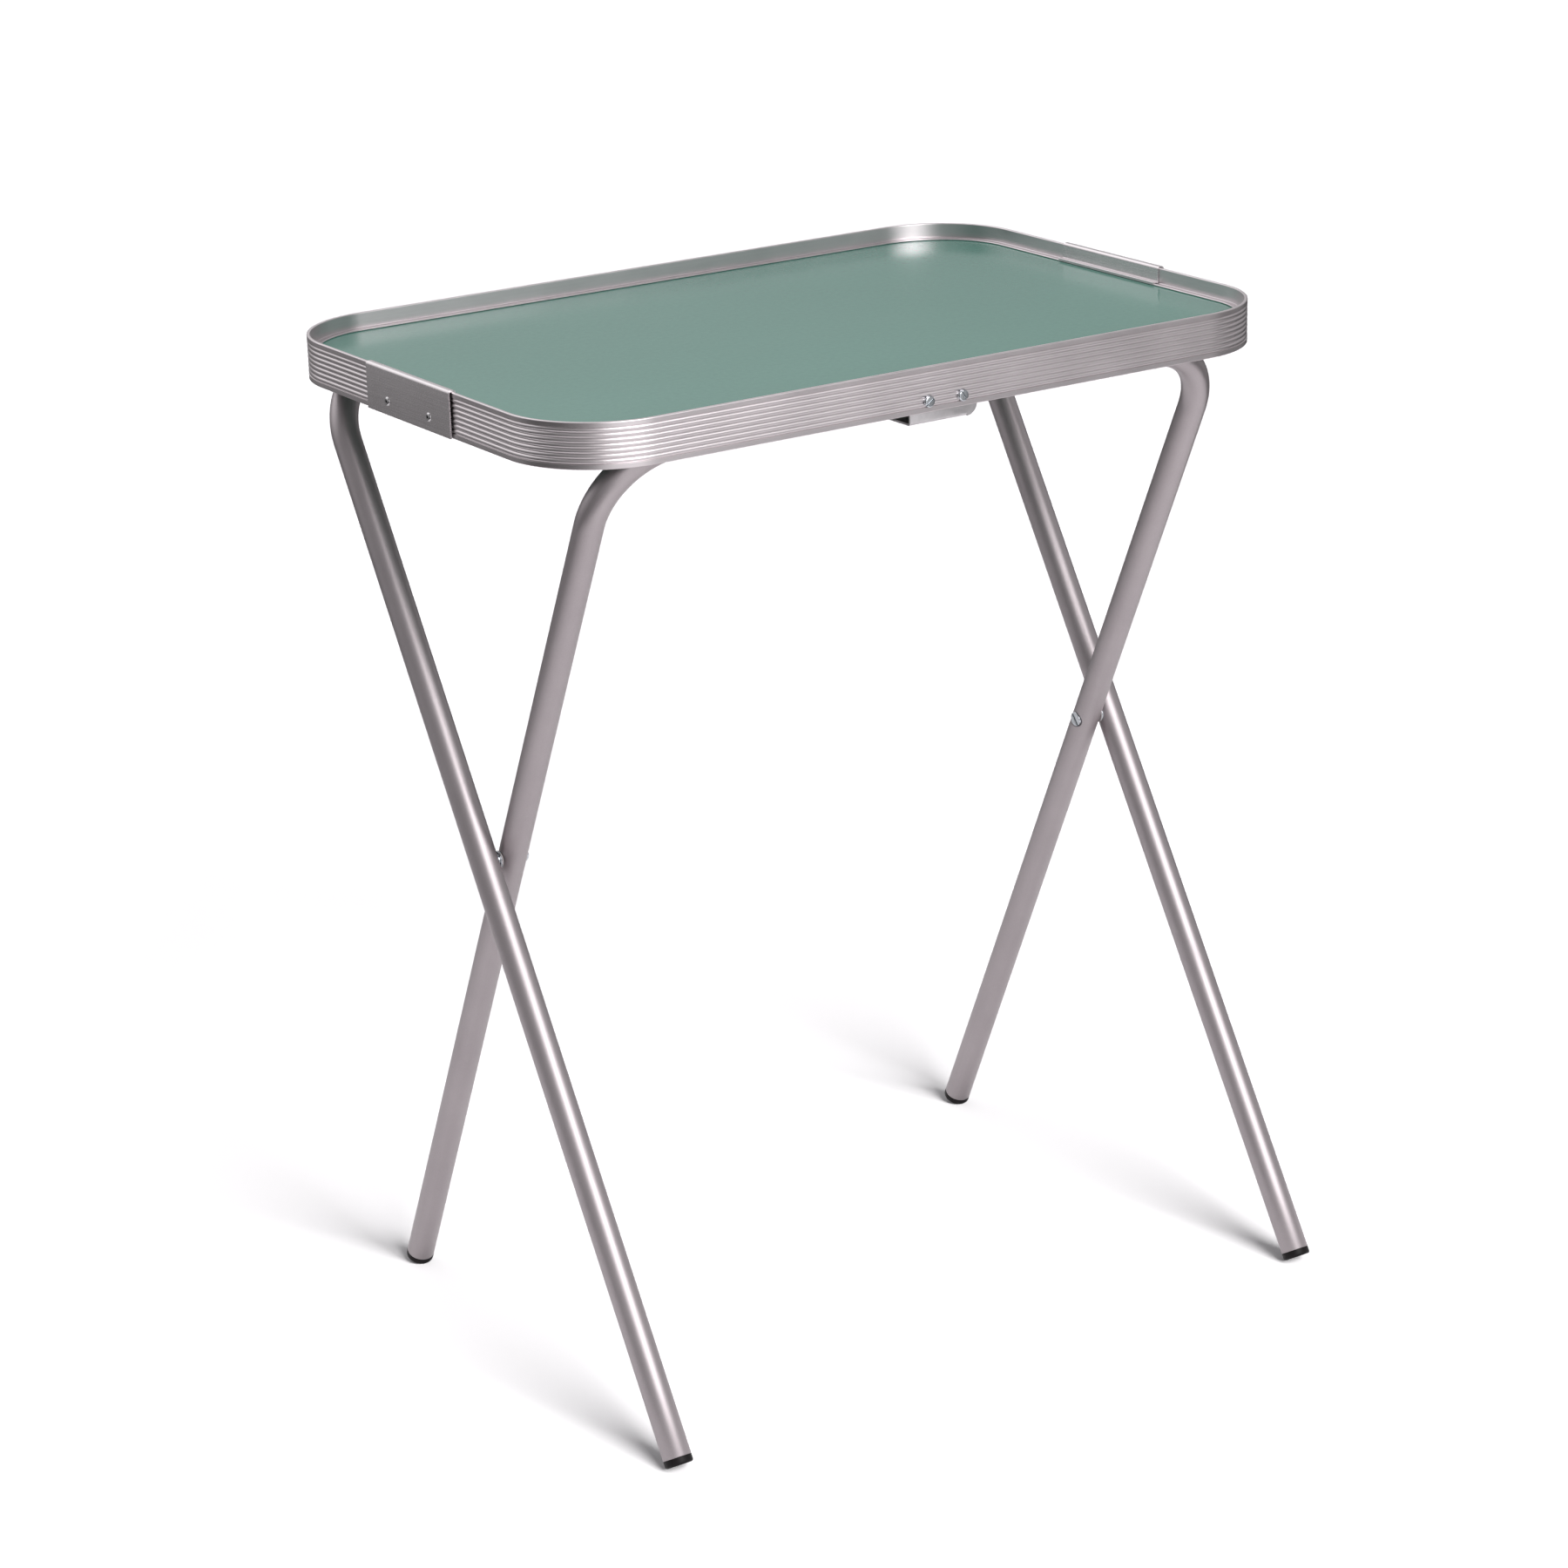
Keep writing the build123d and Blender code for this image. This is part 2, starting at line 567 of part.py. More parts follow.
def pivot(sx):
    head_under = inner_x - r + pocket_depth - pivot_head_gap
    end = outer_x + 1.5
    sc = slotted_screw(screw_d, pivot_head_d, pivot_head_h, end - head_under, 1.3, 1.2, 0.45, 0)
    # local z -> towards the middle of the table
    zdir = Vector(-sx, 0, 0)
    xdir = Vector(0, math.sin(math.radians(slot_turn)), math.cos(math.radians(slot_turn)))
    pl = Plane(origin=(sx * head_under, pivot_y, pivot_z), x_dir=xdir, z_dir=zdir)
    screw = solid_of(pl * sc)

    f0 = face_in - insert_flange_t
    # revolve a half section: local z outward along the screw, 0 at the flange's inward face
    rb = screw_d / 2 + 0.02
    bulge0 = (outer_x - math.sqrt((r - tube_wall) ** 2 - 5.7 ** 2)) - f0 + 0.15
    prof = make_face(
        Wire(
            Polyline(
                (rb, 0),
                (insert_flange_d / 2 - 0.3, 0),
                (insert_flange_d / 2, 0.3),
                (insert_flange_d / 2, insert_flange_t),
                (insert_body_d / 2, insert_flange_t),
                (insert_body_d / 2, bulge0),
                (5.7, bulge0),
                (5.7, bulge0 + 2.4),
                (insert_body_d / 2, bulge0 + 3.4),
                (insert_body_d / 2, 13.0),
                (rb, 13.0),
                (rb, 0),
            )
        )
    )
    ins = revolve(Plane.XZ * prof, Axis.Z)
    ins_pl = Plane(origin=(sx * f0, pivot_y, pivot_z), x_dir=(0, 1, 0), z_dir=(sx, 0, 0))
    insert = solid_of(ins_pl * ins)

    w = Cylinder(insert_flange_d / 2, washer_t, align=(Align.CENTER, Align.CENTER, Align.MAX))
    w -= Cylinder(screw_hole_d / 2, 4)
    washer = solid_of(ins_pl * w)
    return screw, insert, washer


for nm, sx in (("left", -1), ("right", 1)):
    s, i, w = pivot(sx)
    parts["pivot_screw_" + nm] = s
    parts["pivot_insert_" + nm] = i
    parts["pivot_washer_" + nm] = w

# ---------------------------------------------------------------------------
# put the origin under the middle of the whole table, and write one STEP a node
# ---------------------------------------------------------------------------
lo_y, hi_y = 1e9, -1e9
for v in parts.values():
    for s in v if isinstance(v, list) else [v]:
        b = s.bounding_box()
        lo_y, hi_y = min(lo_y, b.min.Y), max(hi_y, b.max.Y)
shift_y = round(-(lo_y + hi_y) / 2, 2)
print("shift_y", shift_y, "y range", lo_y + shift_y, hi_y + shift_y)
print("outer bar", outer_bar_y + shift_y, bar_level, "inner bar", inner_bar_y + shift_y)
print("pivot", pivot_y + shift_y, pivot_z, "board top", board_top)

for name, v in parts.items():
    if isinstance(v, list):
        shape = Compound([Pos(0, shift_y, 0) * s for s in v])
    else:
        shape = Pos(0, shift_y, 0) * v
    export_step(shape, "parts/" + name + ".step")
print(len(parts), "nodes")
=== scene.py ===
import json
import math

import bmesh
import bpy
from mathutils import Matrix, Vector


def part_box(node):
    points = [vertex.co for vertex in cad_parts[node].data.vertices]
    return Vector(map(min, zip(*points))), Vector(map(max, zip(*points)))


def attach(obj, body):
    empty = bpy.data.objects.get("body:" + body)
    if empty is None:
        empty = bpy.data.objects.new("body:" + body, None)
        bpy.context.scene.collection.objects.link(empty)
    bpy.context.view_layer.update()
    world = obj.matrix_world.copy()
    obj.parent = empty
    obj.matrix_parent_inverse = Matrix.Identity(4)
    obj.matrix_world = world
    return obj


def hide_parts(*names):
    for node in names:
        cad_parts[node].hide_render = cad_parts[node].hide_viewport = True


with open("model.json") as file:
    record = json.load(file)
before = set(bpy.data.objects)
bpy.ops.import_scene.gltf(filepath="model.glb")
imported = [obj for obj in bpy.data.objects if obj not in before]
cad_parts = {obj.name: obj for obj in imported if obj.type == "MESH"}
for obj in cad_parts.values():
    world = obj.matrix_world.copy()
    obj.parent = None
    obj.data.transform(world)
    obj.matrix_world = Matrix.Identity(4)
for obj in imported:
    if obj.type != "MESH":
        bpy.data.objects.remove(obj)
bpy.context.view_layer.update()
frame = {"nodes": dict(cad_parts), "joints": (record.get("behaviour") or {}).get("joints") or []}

MM = 0.001
NODES = frame["nodes"]
JOINTS = {j["name"]: j for j in frame["joints"]}

# --------------------------------------------------------------------------
# where things are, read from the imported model
# --------------------------------------------------------------------------
rf_lo, rf_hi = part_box("rim_front")
rr_lo, rr_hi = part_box("rim_rear")
HX = rf_hi.x                              # half length of the top
CY = (rf_lo.y + rr_hi.y) / 2              # middle of the top
HY = (rr_hi.y - rf_lo.y) / 2
TOP = rf_hi.z
RIM_H = rf_hi.z - rf_lo.z
lam_lo, lam_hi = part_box("top_laminate")
brd_lo, brd_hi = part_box("backing_sheet")
of_lo, of_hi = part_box("outer_leg_frame")
if_lo, if_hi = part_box("inner_leg_frame")
P = Vector(JOINTS["leg_pivot"]["pos_m"])

CORNER_R = 70 * MM
TUBE_R = 10.2 * MM
WALL = 1.2 * MM
BEND_R = 58 * MM
FOOT_CAP = 5.5 * MM
FOOT_ROUND = 1.8 * MM

# --------------------------------------------------------------------------
# mesh helpers
# --------------------------------------------------------------------------


def arc_pts(p0, pm, p1, n):
    """points of the circle through p0, pm, p1, from just after p0 to p1"""
    ax, ay = p0
    bx, by = pm
    cx, cy = p1
    d = 2 * (ax * (by - cy) + bx * (cy - ay) + cx * (ay - by))
    ux = ((ax**2 + ay**2) * (by - cy) + (bx**2 + by**2) * (cy - ay) + (cx**2 + cy**2) * (ay - by)) / d
    uy = ((ax**2 + ay**2) * (cx - bx) + (bx**2 + by**2) * (ax - cx) + (cx**2 + cy**2) * (bx - ax)) / d
    r = math.hypot(ax - ux, ay - uy)
    a0 = math.atan2(ay - uy, ax - ux)
    am = math.atan2(by - uy, bx - ux)
    a1 = math.atan2(cy - uy, cx - ux)
    sweep = (a1 - a0) % (2 * math.pi)
    if (am - a0) % (2 * math.pi) > sweep:
        sweep -= 2 * math.pi
    return [(ux + r * math.cos(a0 + sweep * i / n), uy + r * math.sin(a0 + sweep * i / n)) for i in range(1, n + 1)]


def finish_mesh(me, sharp_deg):
    me.validate()
    for p in me.polygons:
        p.use_smooth = True
    me.set_sharp_from_angle(angle=math.radians(sharp_deg))
    me.update()


def new_piece(name, me):
    ob = bpy.data.objects.new(name, me)
    bpy.context.scene.collection.objects.link(ob)
    return ob


def cap_end(bm, uv, row, profile):
    """closes a concave end: the corner nearest to a flat triangle is cut off first, so nothing bridges the hollow"""
    k = 1e3 / max(abs(c) for p in profile for c in p)
    pts = [(a * k, b * k) for a, b in profile]
    idx = list(range(len(pts)))
    area = sum(pts[i - 1][0] * pts[i][1] - pts[i][0] * pts[i - 1][1] for i in idx)
    sg = 1 if area > 0 else -1

    def turn(a, b, c):
        return sg * ((b[0] - a[0]) * (c[1] - a[1]) - (b[1] - a[1]) * (c[0] - a[0]))

    while len(idx) > 3:
        best, score = None, -1e30
        for i in range(len(idx)):
            ia, ib, ic = idx[i - 1], idx[i], idx[(i + 1) % len(idx)]
            a, b, c = pts[ia], pts[ib], pts[ic]
            t = turn(a, b, c)
            if t <= 1e-9:
                continue
            if any(turn(a, b, pts[j]) >= 0 and turn(b, c, pts[j]) >= 0 and turn(c, a, pts[j]) >= 0
                   for j in idx if j not in (ia, ib, ic)):
                continue
            sc = -math.hypot(c[0] - a[0], c[1] - a[1])
            if sc > score:
                best, score = i, sc
        if best is None:
            best = min(range(len(idx)), key=lambda i: abs(turn(pts[idx[i - 1]], pts[idx[i]], pts[idx[(i + 1) % len(idx)]])))
        ia, ib, ic = idx[best - 1], idx[best], idx[(best + 1) % len(idx)]
        f = bm.faces.new((row[ia], row[ib], row[ic]))
        for lp in f.loops:
            lp[uv].uv = (lp.vert.co.x, lp.vert.co.z)
        idx.pop(best)
    f = bm.faces.new([row[i] for i in idx])
    for lp in f.loops:
        lp[uv].uv = (lp.vert.co.x, lp.vert.co.z)


def sweep_piece(name, profile, stations, sharp_deg=32, close_loop=False):
    """profile: closed list of (a, b). stations: (origin, dir_a, dir_b, v).
    UVs are in metres: x along the path, y round the profile."""
    n = len(profile)
    bm = bmesh.new()
    uv = bm.loops.layers.uv.new("UVMap")
    per = [0.0]
    for i in range(n):
        a, b = profile[i], profile[(i + 1) % n]
        per.append(per[-1] + math.hypot(b[0] - a[0], b[1] - a[1]))
    rings = []
    for o, da, db, v in stations:
        rings.append([bm.verts.new(o + da * p[0] + db * p[1]) for p in profile])
    for s in range(len(stations) - 1):
        v0, v1 = stations[s][3], stations[s + 1][3]
        for i in range(n):
            j = (i + 1) % n
            f = bm.faces.new((rings[s][i], rings[s][j], rings[s + 1][j], rings[s + 1][i]))
            for lp, c in zip(f.loops, ((v0, per[i]), (v0, per[i + 1]), (v1, per[i + 1]), (v1, per[i]))):
                lp[uv].uv = c
    if not close_loop:
        for row in (rings[0], rings[-1]):
            cap_end(bm, uv, row, profile)
    bmesh.ops.recalc_face_normals(bm, faces=bm.faces)
    me = bpy.data.meshes.new(name)
    bm.to_mesh(me)
    bm.free()
    finish_mesh(me, sharp_deg)
    return new_piece(name, me)


def lathe_mesh(name, profile, seg=96):
    """profile: open list of (radius, z) that starts and ends on the axis; closed body about local Z"""
    bm = bmesh.new()
    uv = bm.loops.layers.uv.new("UVMap")
    rings = []
    for rad, z in profile:
        if rad < 1e-9:
            rings.append([bm.verts.new((0, 0, z))])
        else:
            rings.append([bm.verts.new((rad * math.cos(2 * math.pi * k / seg), rad * math.sin(2 * math.pi * k / seg), z)) for k in range(seg)])
    length = 0.0
    for a in range(len(rings) - 1):
        r0, r1 = rings[a], rings[a + 1]
        step = math.hypot(profile[a + 1][0] - profile[a][0], profile[a + 1][1] - profile[a][1])
        for k in range(seg):
            m = (k + 1) % seg
            vs = [r0[k % len(r0)], r0[m % len(r0)], r1[m % len(r1)], r1[k % len(r1)]]
            uniq = []
            for v in vs:
                if v not in uniq:
                    uniq.append(v)
            if len(uniq) < 3:
                continue
            f = bm.faces.new(uniq)
            for lp in f.loops:
                on0 = lp.vert in r0
                rad = profile[a][0] if on0 else profile[a + 1][0]
                ang = k if lp.vert in (r0[k % len(r0)], r1[k % len(r1)]) else k + 1
                lp[uv].uv = (ang * 2 * math.pi / seg * max(rad, 1e-4), length if on0 else length + step)
        length += step
    bmesh.ops.recalc_face_normals(bm, faces=bm.faces)
    me = bpy.data.meshes.new(name)
    bm.to_mesh(me)
    bm.free()
    return me


def refined(node, name, bevel=0.12, seg=2, limit=35, sharp=20):
    """a welded copy of a CAD body with its sharp edges broken, standing for that body"""
    src = NODES[node]
    bm = bmesh.new()
    bm.from_mesh(src.data)
    bmesh.ops.remove_doubles(bm, verts=bm.verts, dist=1e-6)
    bmesh.ops.dissolve_degenerate(bm, edges=bm.edges, dist=1e-7)
    bmesh.ops.dissolve_limit(bm, angle_limit=math.radians(0.4), verts=bm.verts, edges=bm.edges)
    me = bpy.data.meshes.new(name)
    bm.to_mesh(me)
    bm.free()
    for p in me.polygons:
        p.use_smooth = True
    ob = new_piece(name, me)
    mod = ob.modifiers.new("edges", "BEVEL")
    mod.width = bevel * MM
    mod.segments = seg
    mod.limit_method = "ANGLE"
    mod.angle_limit = math.radians(limit)
    mod.use_clamp_overlap = True
    mod.miter_outer = "MITER_ARC"
    bpy.context.view_layer.update()
    dg = bpy.context.evaluated_depsgraph_get()
    final = bpy.data.meshes.new_from_object(ob.evaluated_get(dg))
    ob.modifiers.clear()
    ob.data = final
    bm = bmesh.new()
    bm.from_mesh(final)
    bmesh.ops.triangulate(bm, faces=[f for f in bm.faces if len(f.verts) > 4])
    bmesh.ops.remove_doubles(bm, verts=bm.verts, dist=1e-7)
    bm.to_mesh(final)
    bm.free()
    finish_mesh(final, sharp)
    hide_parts(node)
    return ob


# --------------------------------------------------------------------------
# material helpers
# --------------------------------------------------------------------------


class Mat:
    def __init__(self, name):
        self.m = bpy.data.materials.new(name)
        self.m.use_nodes = True
        self.nt = self.m.node_tree
        self.nt.nodes.clear()
        self.out = self.nt.nodes.new("ShaderNodeOutputMaterial")
        self.b = self.nt.nodes.new("ShaderNodeBsdfPrincipled")
        self.nt.links.new(self.b.outputs["BSDF"], self.out.inputs["Surface"])
        self.tc = self.nt.nodes.new("ShaderNodeTexCoord")

    def set(self, **kw):
        for k, v in kw.items():
            s = self.b.inputs[k.replace("_", " ")]
            s.default_value = v
        return self

    def link(self, a, b):
        self.nt.links.new(a, b)

    def vec(self, source="Object", scale=(1, 1, 1), rot=(0, 0, 0), loc=(0, 0, 0)):
        mp = self.nt.nodes.new("ShaderNodeMapping")
        mp.inputs["Scale"].default_value = scale
        mp.inputs["Rotation"].default_value = rot
        mp.inputs["Location"].default_value = loc
        self.link(self.tc.outputs[source], mp.inputs["Vector"])
        return mp.outputs["Vector"]

    def noise(self, vec, scale, detail=2.0, rough=0.5, distort=0.0, lac=2.0):
        n = self.nt.nodes.new("ShaderNodeTexNoise")
        n.inputs["Scale"].default_value = scale
        n.inputs["Detail"].default_value = detail
        n.inputs["Roughness"].default_value = rough
        n.inputs["Distortion"].default_value = distort
        n.inputs["Lacunarity"].default_value = lac
        self.link(vec, n.inputs["Vector"])
        return n.outputs["Fac"]

    def voronoi(self, vec, scale, feature="F1"):
        n = self.nt.nodes.new("ShaderNodeTexVoronoi")
        n.feature = feature
        n.inputs["Scale"].default_value = scale
        self.link(vec, n.inputs["Vector"])
        return n.outputs

    def rng(self, fac, a, b, lo, hi, smooth=False):
        n = self.nt.nodes.new("ShaderNodeMapRange")
        n.clamp = True
        if smooth:
            n.interpolation_type = "SMOOTHSTEP"
        n.inputs["From Min"].default_value = a
        n.inputs["From Max"].default_value = b
        n.inputs["To Min"].default_value = lo
        n.inputs["To Max"].default_value = hi
        self.link(fac, n.inputs["Value"])
        return n.outputs["Result"]

    def math(self, op, a, b=None):
        n = self.nt.nodes.new("ShaderNodeMath")
        n.operation = op
        for s, v in zip(n.inputs, (a, b)):
            if v is None:
                continue
            if isinstance(v, (int, float)):
                s.default_value = v
            else:
                self.link(v, s)
        return n.outputs[0]

    def ramp(self, fac, *stops):
        n = self.nt.nodes.new("ShaderNodeValToRGB")
        cr = n.color_ramp
        while len(cr.elements) > len(stops):
            cr.elements.remove(cr.elements[-1])
        while len(cr.elements) < len(stops):
            cr.elements.new(0.5)
        for e, (pos, col) in zip(cr.elements, stops):
            e.position = pos
            e.color = (*col, 1.0)
        self.link(fac, n.inputs["Fac"])
        return n.outputs["Color"]

    def mix(self, fac, a, b, blend="MIX"):
        n = self.nt.nodes.new("ShaderNodeMix")
        n.data_type = "RGBA"
        n.blend_type = blend
        fac_s = [s for s in n.inputs if s.identifier == "Factor_Float"][0]
        a_s = [s for s in n.inputs if s.identifier == "A_Color"][0]
        b_s = [s for s in n.inputs if s.identifier == "B_Color"][0]
        for s, v in ((fac_s, fac), (a_s, a), (b_s, b)):
            if isinstance(v, (int, float)):
                s.default_value = v
            elif isinstance(v, tuple):
                s.default_value = (*v, 1.0)
            else:
                self.link(v, s)
        return [o for o in n.outputs if o.identifier == "Result_Color"][0]

    def bump(self, height, strength, distance, under=None):
        n = self.nt.nodes.new("ShaderNodeBump")
        n.inputs["Strength"].default_value = strength
        n.inputs["Distance"].default_value = distance
        self.link(height, n.inputs["Height"])
        if under is not None:
            self.link(under, n.inputs["Normal"])
        return n.outputs["Normal"]

    def color(self, out):
        self.link(out, self.b.inputs["Base Color"])

    def rough(self, out):
        self.link(out, self.b.inputs["Roughness"])

    def normal(self, out):
        self.link(out, self.b.inputs["Normal"])


def paint(ob, m):
    mat = m.m if isinstance(m, Mat) else m
    ob.data.materials.clear()
    ob.data.materials.append(mat)
    for p in ob.data.polygons:
        p.material_index = 0


def paint_cad(node, m):
    ob = NODES[node]
    if not ob.material_slots:
        ob.data.materials.append(m.m)
    for s in ob.material_slots:
        s.material = m.m


# --------------------------------------------------------------------------
# materials
# --------------------------------------------------------------------------


def make_laminate():
    m = Mat("green_laminate")
    m.set(Metallic=0.0, IOR=1.5)
    m.b.inputs["Specular IOR Level"].default_value = 0.34
    v = m.vec()
    cloud = m.noise(v, 5.0, 3.0, 0.55)
    fine = m.noise(v, 260.0, 3.0, 0.6)
    tone = m.ramp(m.rng(cloud, 0.35, 0.65, 0.0, 1.0), (0.0, (0.066, 0.193, 0.153)), (1.0, (0.074, 0.209, 0.167)))
    m.color(m.mix(0.5, tone, m.ramp(m.rng(fine, 0.3, 0.7, 0.0, 1.0), (0.0, (0.062, 0.185, 0.146)), (1.0, (0.078, 0.217, 0.174)))))
    # rubbed patches, a little glossier
    rub = m.noise(m.vec(scale=(1, 1.6, 1)), 9.0, 4.0, 0.6, 0.6)
    m.rough(m.math("ADD", m.rng(rub, 0.3, 0.7, 0.145, 0.185), m.rng(fine, 0.3, 0.7, -0.012, 0.012)))
    # fine orange peel of a pressed laminate
    peel = m.noise(v, 900.0, 2.0, 0.5)
    grain = m.noise(v, 2600.0, 1.0, 0.5)
    m.normal(m.bump(peel, 0.05, 0.0002, m.bump(grain, 0.05, 0.0001)))
    return m


def make_backing():
    m = Mat("backing_sheet_green")
    m.set(Metallic=0.0)
    m.b.inputs["Specular IOR Level"].default_value = 0.4
    v = m.vec()
    a = m.noise(v, 14.0, 4.0, 0.6)
    b = m.noise(v, 700.0, 2.0, 0.5)
    m.color(m.mix(m.rng(b, 0.3, 0.7, 0.0, 0.35), m.ramp(m.rng(a, 0.3, 0.7, 0, 1), (0.0, (0.012, 0.040, 0.029)), (1.0, (0.018, 0.054, 0.039))), (0.022, 0.064, 0.046)))
    m.rough(m.rng(a, 0.3, 0.7, 0.5, 0.62))
    m.normal(m.bump(b, 0.2, 0.0002))
    return m


def make_core():
    m = Mat("board_core_fibre")
    m.set(Metallic=0.0)
    v = m.vec(scale=(1, 1, 6))
    a = m.noise(v, 900.0, 5.0, 0.7)
    b = m.noise(v, 60.0, 3.0, 0.6)
    m.color(m.mix(m.rng(b, 0.3, 0.7, 0.2, 0.8), m.ramp(a, (0.3, (0.16, 0.09, 0.045)), (0.7, (0.36, 0.24, 0.13))), (0.24, 0.15, 0.08)))
    m.rough(m.rng(a, 0.3, 0.7, 0.8, 0.95))
    m.normal(m.bump(a, 0.4, 0.0003))
    return m


def make_rim():
    """drawn and satin anodised: fine die lines run along the extrusion"""
    m = Mat("rim_aluminium")
    m.set(Metallic=1.0)
    uv = m.vec("UV", scale=(6.0, 2600.0, 1.0))
    lines = m.noise(uv, 1.0, 4.0, 0.65)
    uv2 = m.vec("UV", scale=(1.5, 700.0, 1.0))
    wide = m.noise(uv2, 1.0, 3.0, 0.6)
    cloud = m.noise(m.vec(), 22.0, 4.0, 0.6)
    micro = m.noise(m.vec(), 5200.0, 2.0, 0.6)
    m.color(m.mix(m.rng(wide, 0.3, 0.7, 0.0, 0.7), m.ramp(m.rng(cloud, 0.3, 0.7, 0, 1), (0.0, (0.54, 0.504, 0.517)), (1.0, (0.575, 0.537, 0.55))), (0.59, 0.553, 0.566)))
    m.rough(m.math("ADD", m.rng(lines, 0.3, 0.7, 0.295, 0.345), m.rng(cloud, 0.3, 0.7, -0.02, 0.03)))
    m.normal(m.bump(lines, 0.03, 0.00005, m.bump(micro, 0.08, 0.00004)))
    return m


def make_clip():
    """rolled sheet: fine lines run along the clip"""
    m = Mat("clip_sheet_aluminium")
    m.set(Metallic=1.0)
    lines = m.noise(m.vec("UV", scale=(9.0, 2400.0, 1.0)), 1.0, 4.0, 0.6)
    wide = m.noise(m.vec("UV", scale=(3.0, 420.0, 1.0)), 1.0, 3.0, 0.6)
    cloud = m.noise(m.vec(), 45.0, 5.0, 0.6)
    rub = m.noise(m.vec(scale=(1, 1, 1)), 240.0, 6.0, 0.7, 0.5)
    m.color(m.mix(m.rng(wide, 0.35, 0.65, 0.0, 0.6), m.ramp(m.rng(cloud, 0.3, 0.7, 0, 1), (0.0, (0.54, 0.508, 0.520)), (1.0, (0.605, 0.572, 0.585))), (0.65, 0.618, 0.63)))
    m.rough(m.math("ADD", m.rng(lines, 0.35, 0.65, 0.24, 0.33), m.rng(rub, 0.55, 0.72, 0.0, 0.08)))
    m.normal(m.bump(lines, 0.05, 0.00005))
    return m


def make_rivet():
    m = Mat("rivet_aluminium")
    m.set(Metallic=1.0)
    v = m.vec()
    a = m.noise(v, 900.0, 4.0, 0.6)
    b = m.noise(v, 6000.0, 2.0, 0.6)
    m.color(m.ramp(m.rng(a, 0.3, 0.7, 0, 1), (0.0, (0.42, 0.41, 0.42)), (1.0, (0.58, 0.57, 0.58))))
    m.rough(m.rng(a, 0.3, 0.7, 0.16, 0.26))
    m.normal(m.bump(b, 0.25, 0.00004))
    return m


def make_bore_shade():
    """painted shade: a near-black finish inside the hollow rivets' bores, where the holes fall dark"""
    m = Mat("rivet_bore_painted_shade")
    m.set(Metallic=0.4)
    a = m.noise(m.vec(), 2200.0, 4.0, 0.6)
    m.color(m.ramp(m.rng(a, 0.3, 0.7, 0, 1), (0.0, (0.010, 0.009, 0.010)), (1.0, (0.045, 0.042, 0.044))))
    m.rough(m.rng(a, 0.3, 0.7, 0.45, 0.7))
    m.normal(m.bump(a, 0.3, 0.00006))
    return m


def make_tube():
    """silver lacquer with fine metal flake under a thin clear film"""
    m = Mat("tube_lacquer")
    m.set(Metallic=0.93)
    m.b.inputs["Coat Weight"].default_value = 0.12
    m.b.inputs["Coat Roughness"].default_value = 0.3
    uvv = m.vec("UV")
    flake = m.voronoi(uvv, 5200.0)
    fl = m.nt.nodes.new("ShaderNodeSeparateColor")
    m.link(flake["Color"], fl.inputs["Color"])
    cloud = m.noise(m.vec(), 16.0, 5.0, 0.6)
    base = m.ramp(m.rng(cloud, 0.3, 0.7, 0, 1), (0.0, (0.345, 0.312, 0.324)), (1.0, (0.388, 0.352, 0.365)))
    m.color(m.mix(m.rng(fl.outputs[0], 0.0, 1.0, 0.0, 0.35), base, (0.47, 0.44, 0.45)))
    # draw marks along the tube and handling scuffs
    marks = m.noise(m.vec("UV", scale=(900.0, 5.0, 1.0)), 1.0, 3.0, 0.6)
    scuff = m.noise(m.vec("UV", scale=(60.0, 14.0, 1.0)), 1.0, 6.0, 0.7, 0.8)
    m.rough(m.math("ADD", m.rng(marks, 0.3, 0.7, 0.42, 0.475), m.rng(scuff, 0.56, 0.75, 0.0, 0.07)))
    peel = m.noise(m.vec("UV", scale=(1.0, 0.6, 1.0)), 650.0, 2.0, 0.5)
    m.normal(m.bump(peel, 0.10, 0.00012, m.bump(fl.outputs[1], 0.05, 0.00004)))
    return m


def make_zinc(name, tint, dark):
    m = Mat(name)
    m.set(Metallic=1.0)
    v = m.vec()
    a = m.noise(v, 420.0, 5.0, 0.65)
    b = m.noise(v, 3800.0, 3.0, 0.6)
    spot = m.noise(v, 1500.0, 2.0, 0.5)
    c = m.ramp(m.rng(a, 0.3, 0.7, 0, 1), (0.0, dark), (1.0, tint))
    m.color(m.mix(m.rng(spot, 0.62, 0.75, 0.0, 0.5), c, (dark[0] * 0.6, dark[1] * 0.6, dark[2] * 0.62)))
    m.rough(m.math("ADD", m.rng(a, 0.3, 0.7, 0.11, 0.19), m.rng(b, 0.3, 0.7, -0.01, 0.03)))
    m.normal(m.bump(b, 0.10, 0.00004, m.bump(a, 0.08, 0.0001)))
    return m


def make_bracket():
    m = Mat("bracket_zinc_sheet")
    m.set(Metallic=1.0)
    v = m.vec()
    span = m.voronoi(v, 120.0)
    sc = m.nt.nodes.new("ShaderNodeSeparateColor")
    m.link(span["Color"], sc.inputs["Color"])
    a = m.noise(v, 160.0, 5.0, 0.6)
    roll = m.noise(m.vec(scale=(12.0, 900.0, 900.0)), 1.0, 4.0, 0.6)
    m.color(m.mix(m.rng(sc.outputs[0], 0, 1, 0.0, 0.25), m.ramp(m.rng(a, 0.3, 0.7, 0, 1), (0.0, (0.44, 0.425, 0.435)), (1.0, (0.53, 0.515, 0.525))), (0.60, 0.585, 0.597)))
    m.rough(m.math("ADD", m.rng(roll, 0.3, 0.7, 0.28, 0.38), m.rng(sc.outputs[1], 0, 1, -0.02, 0.03)))
    m.normal(m.bump(roll, 0.06, 0.00005))
    return m


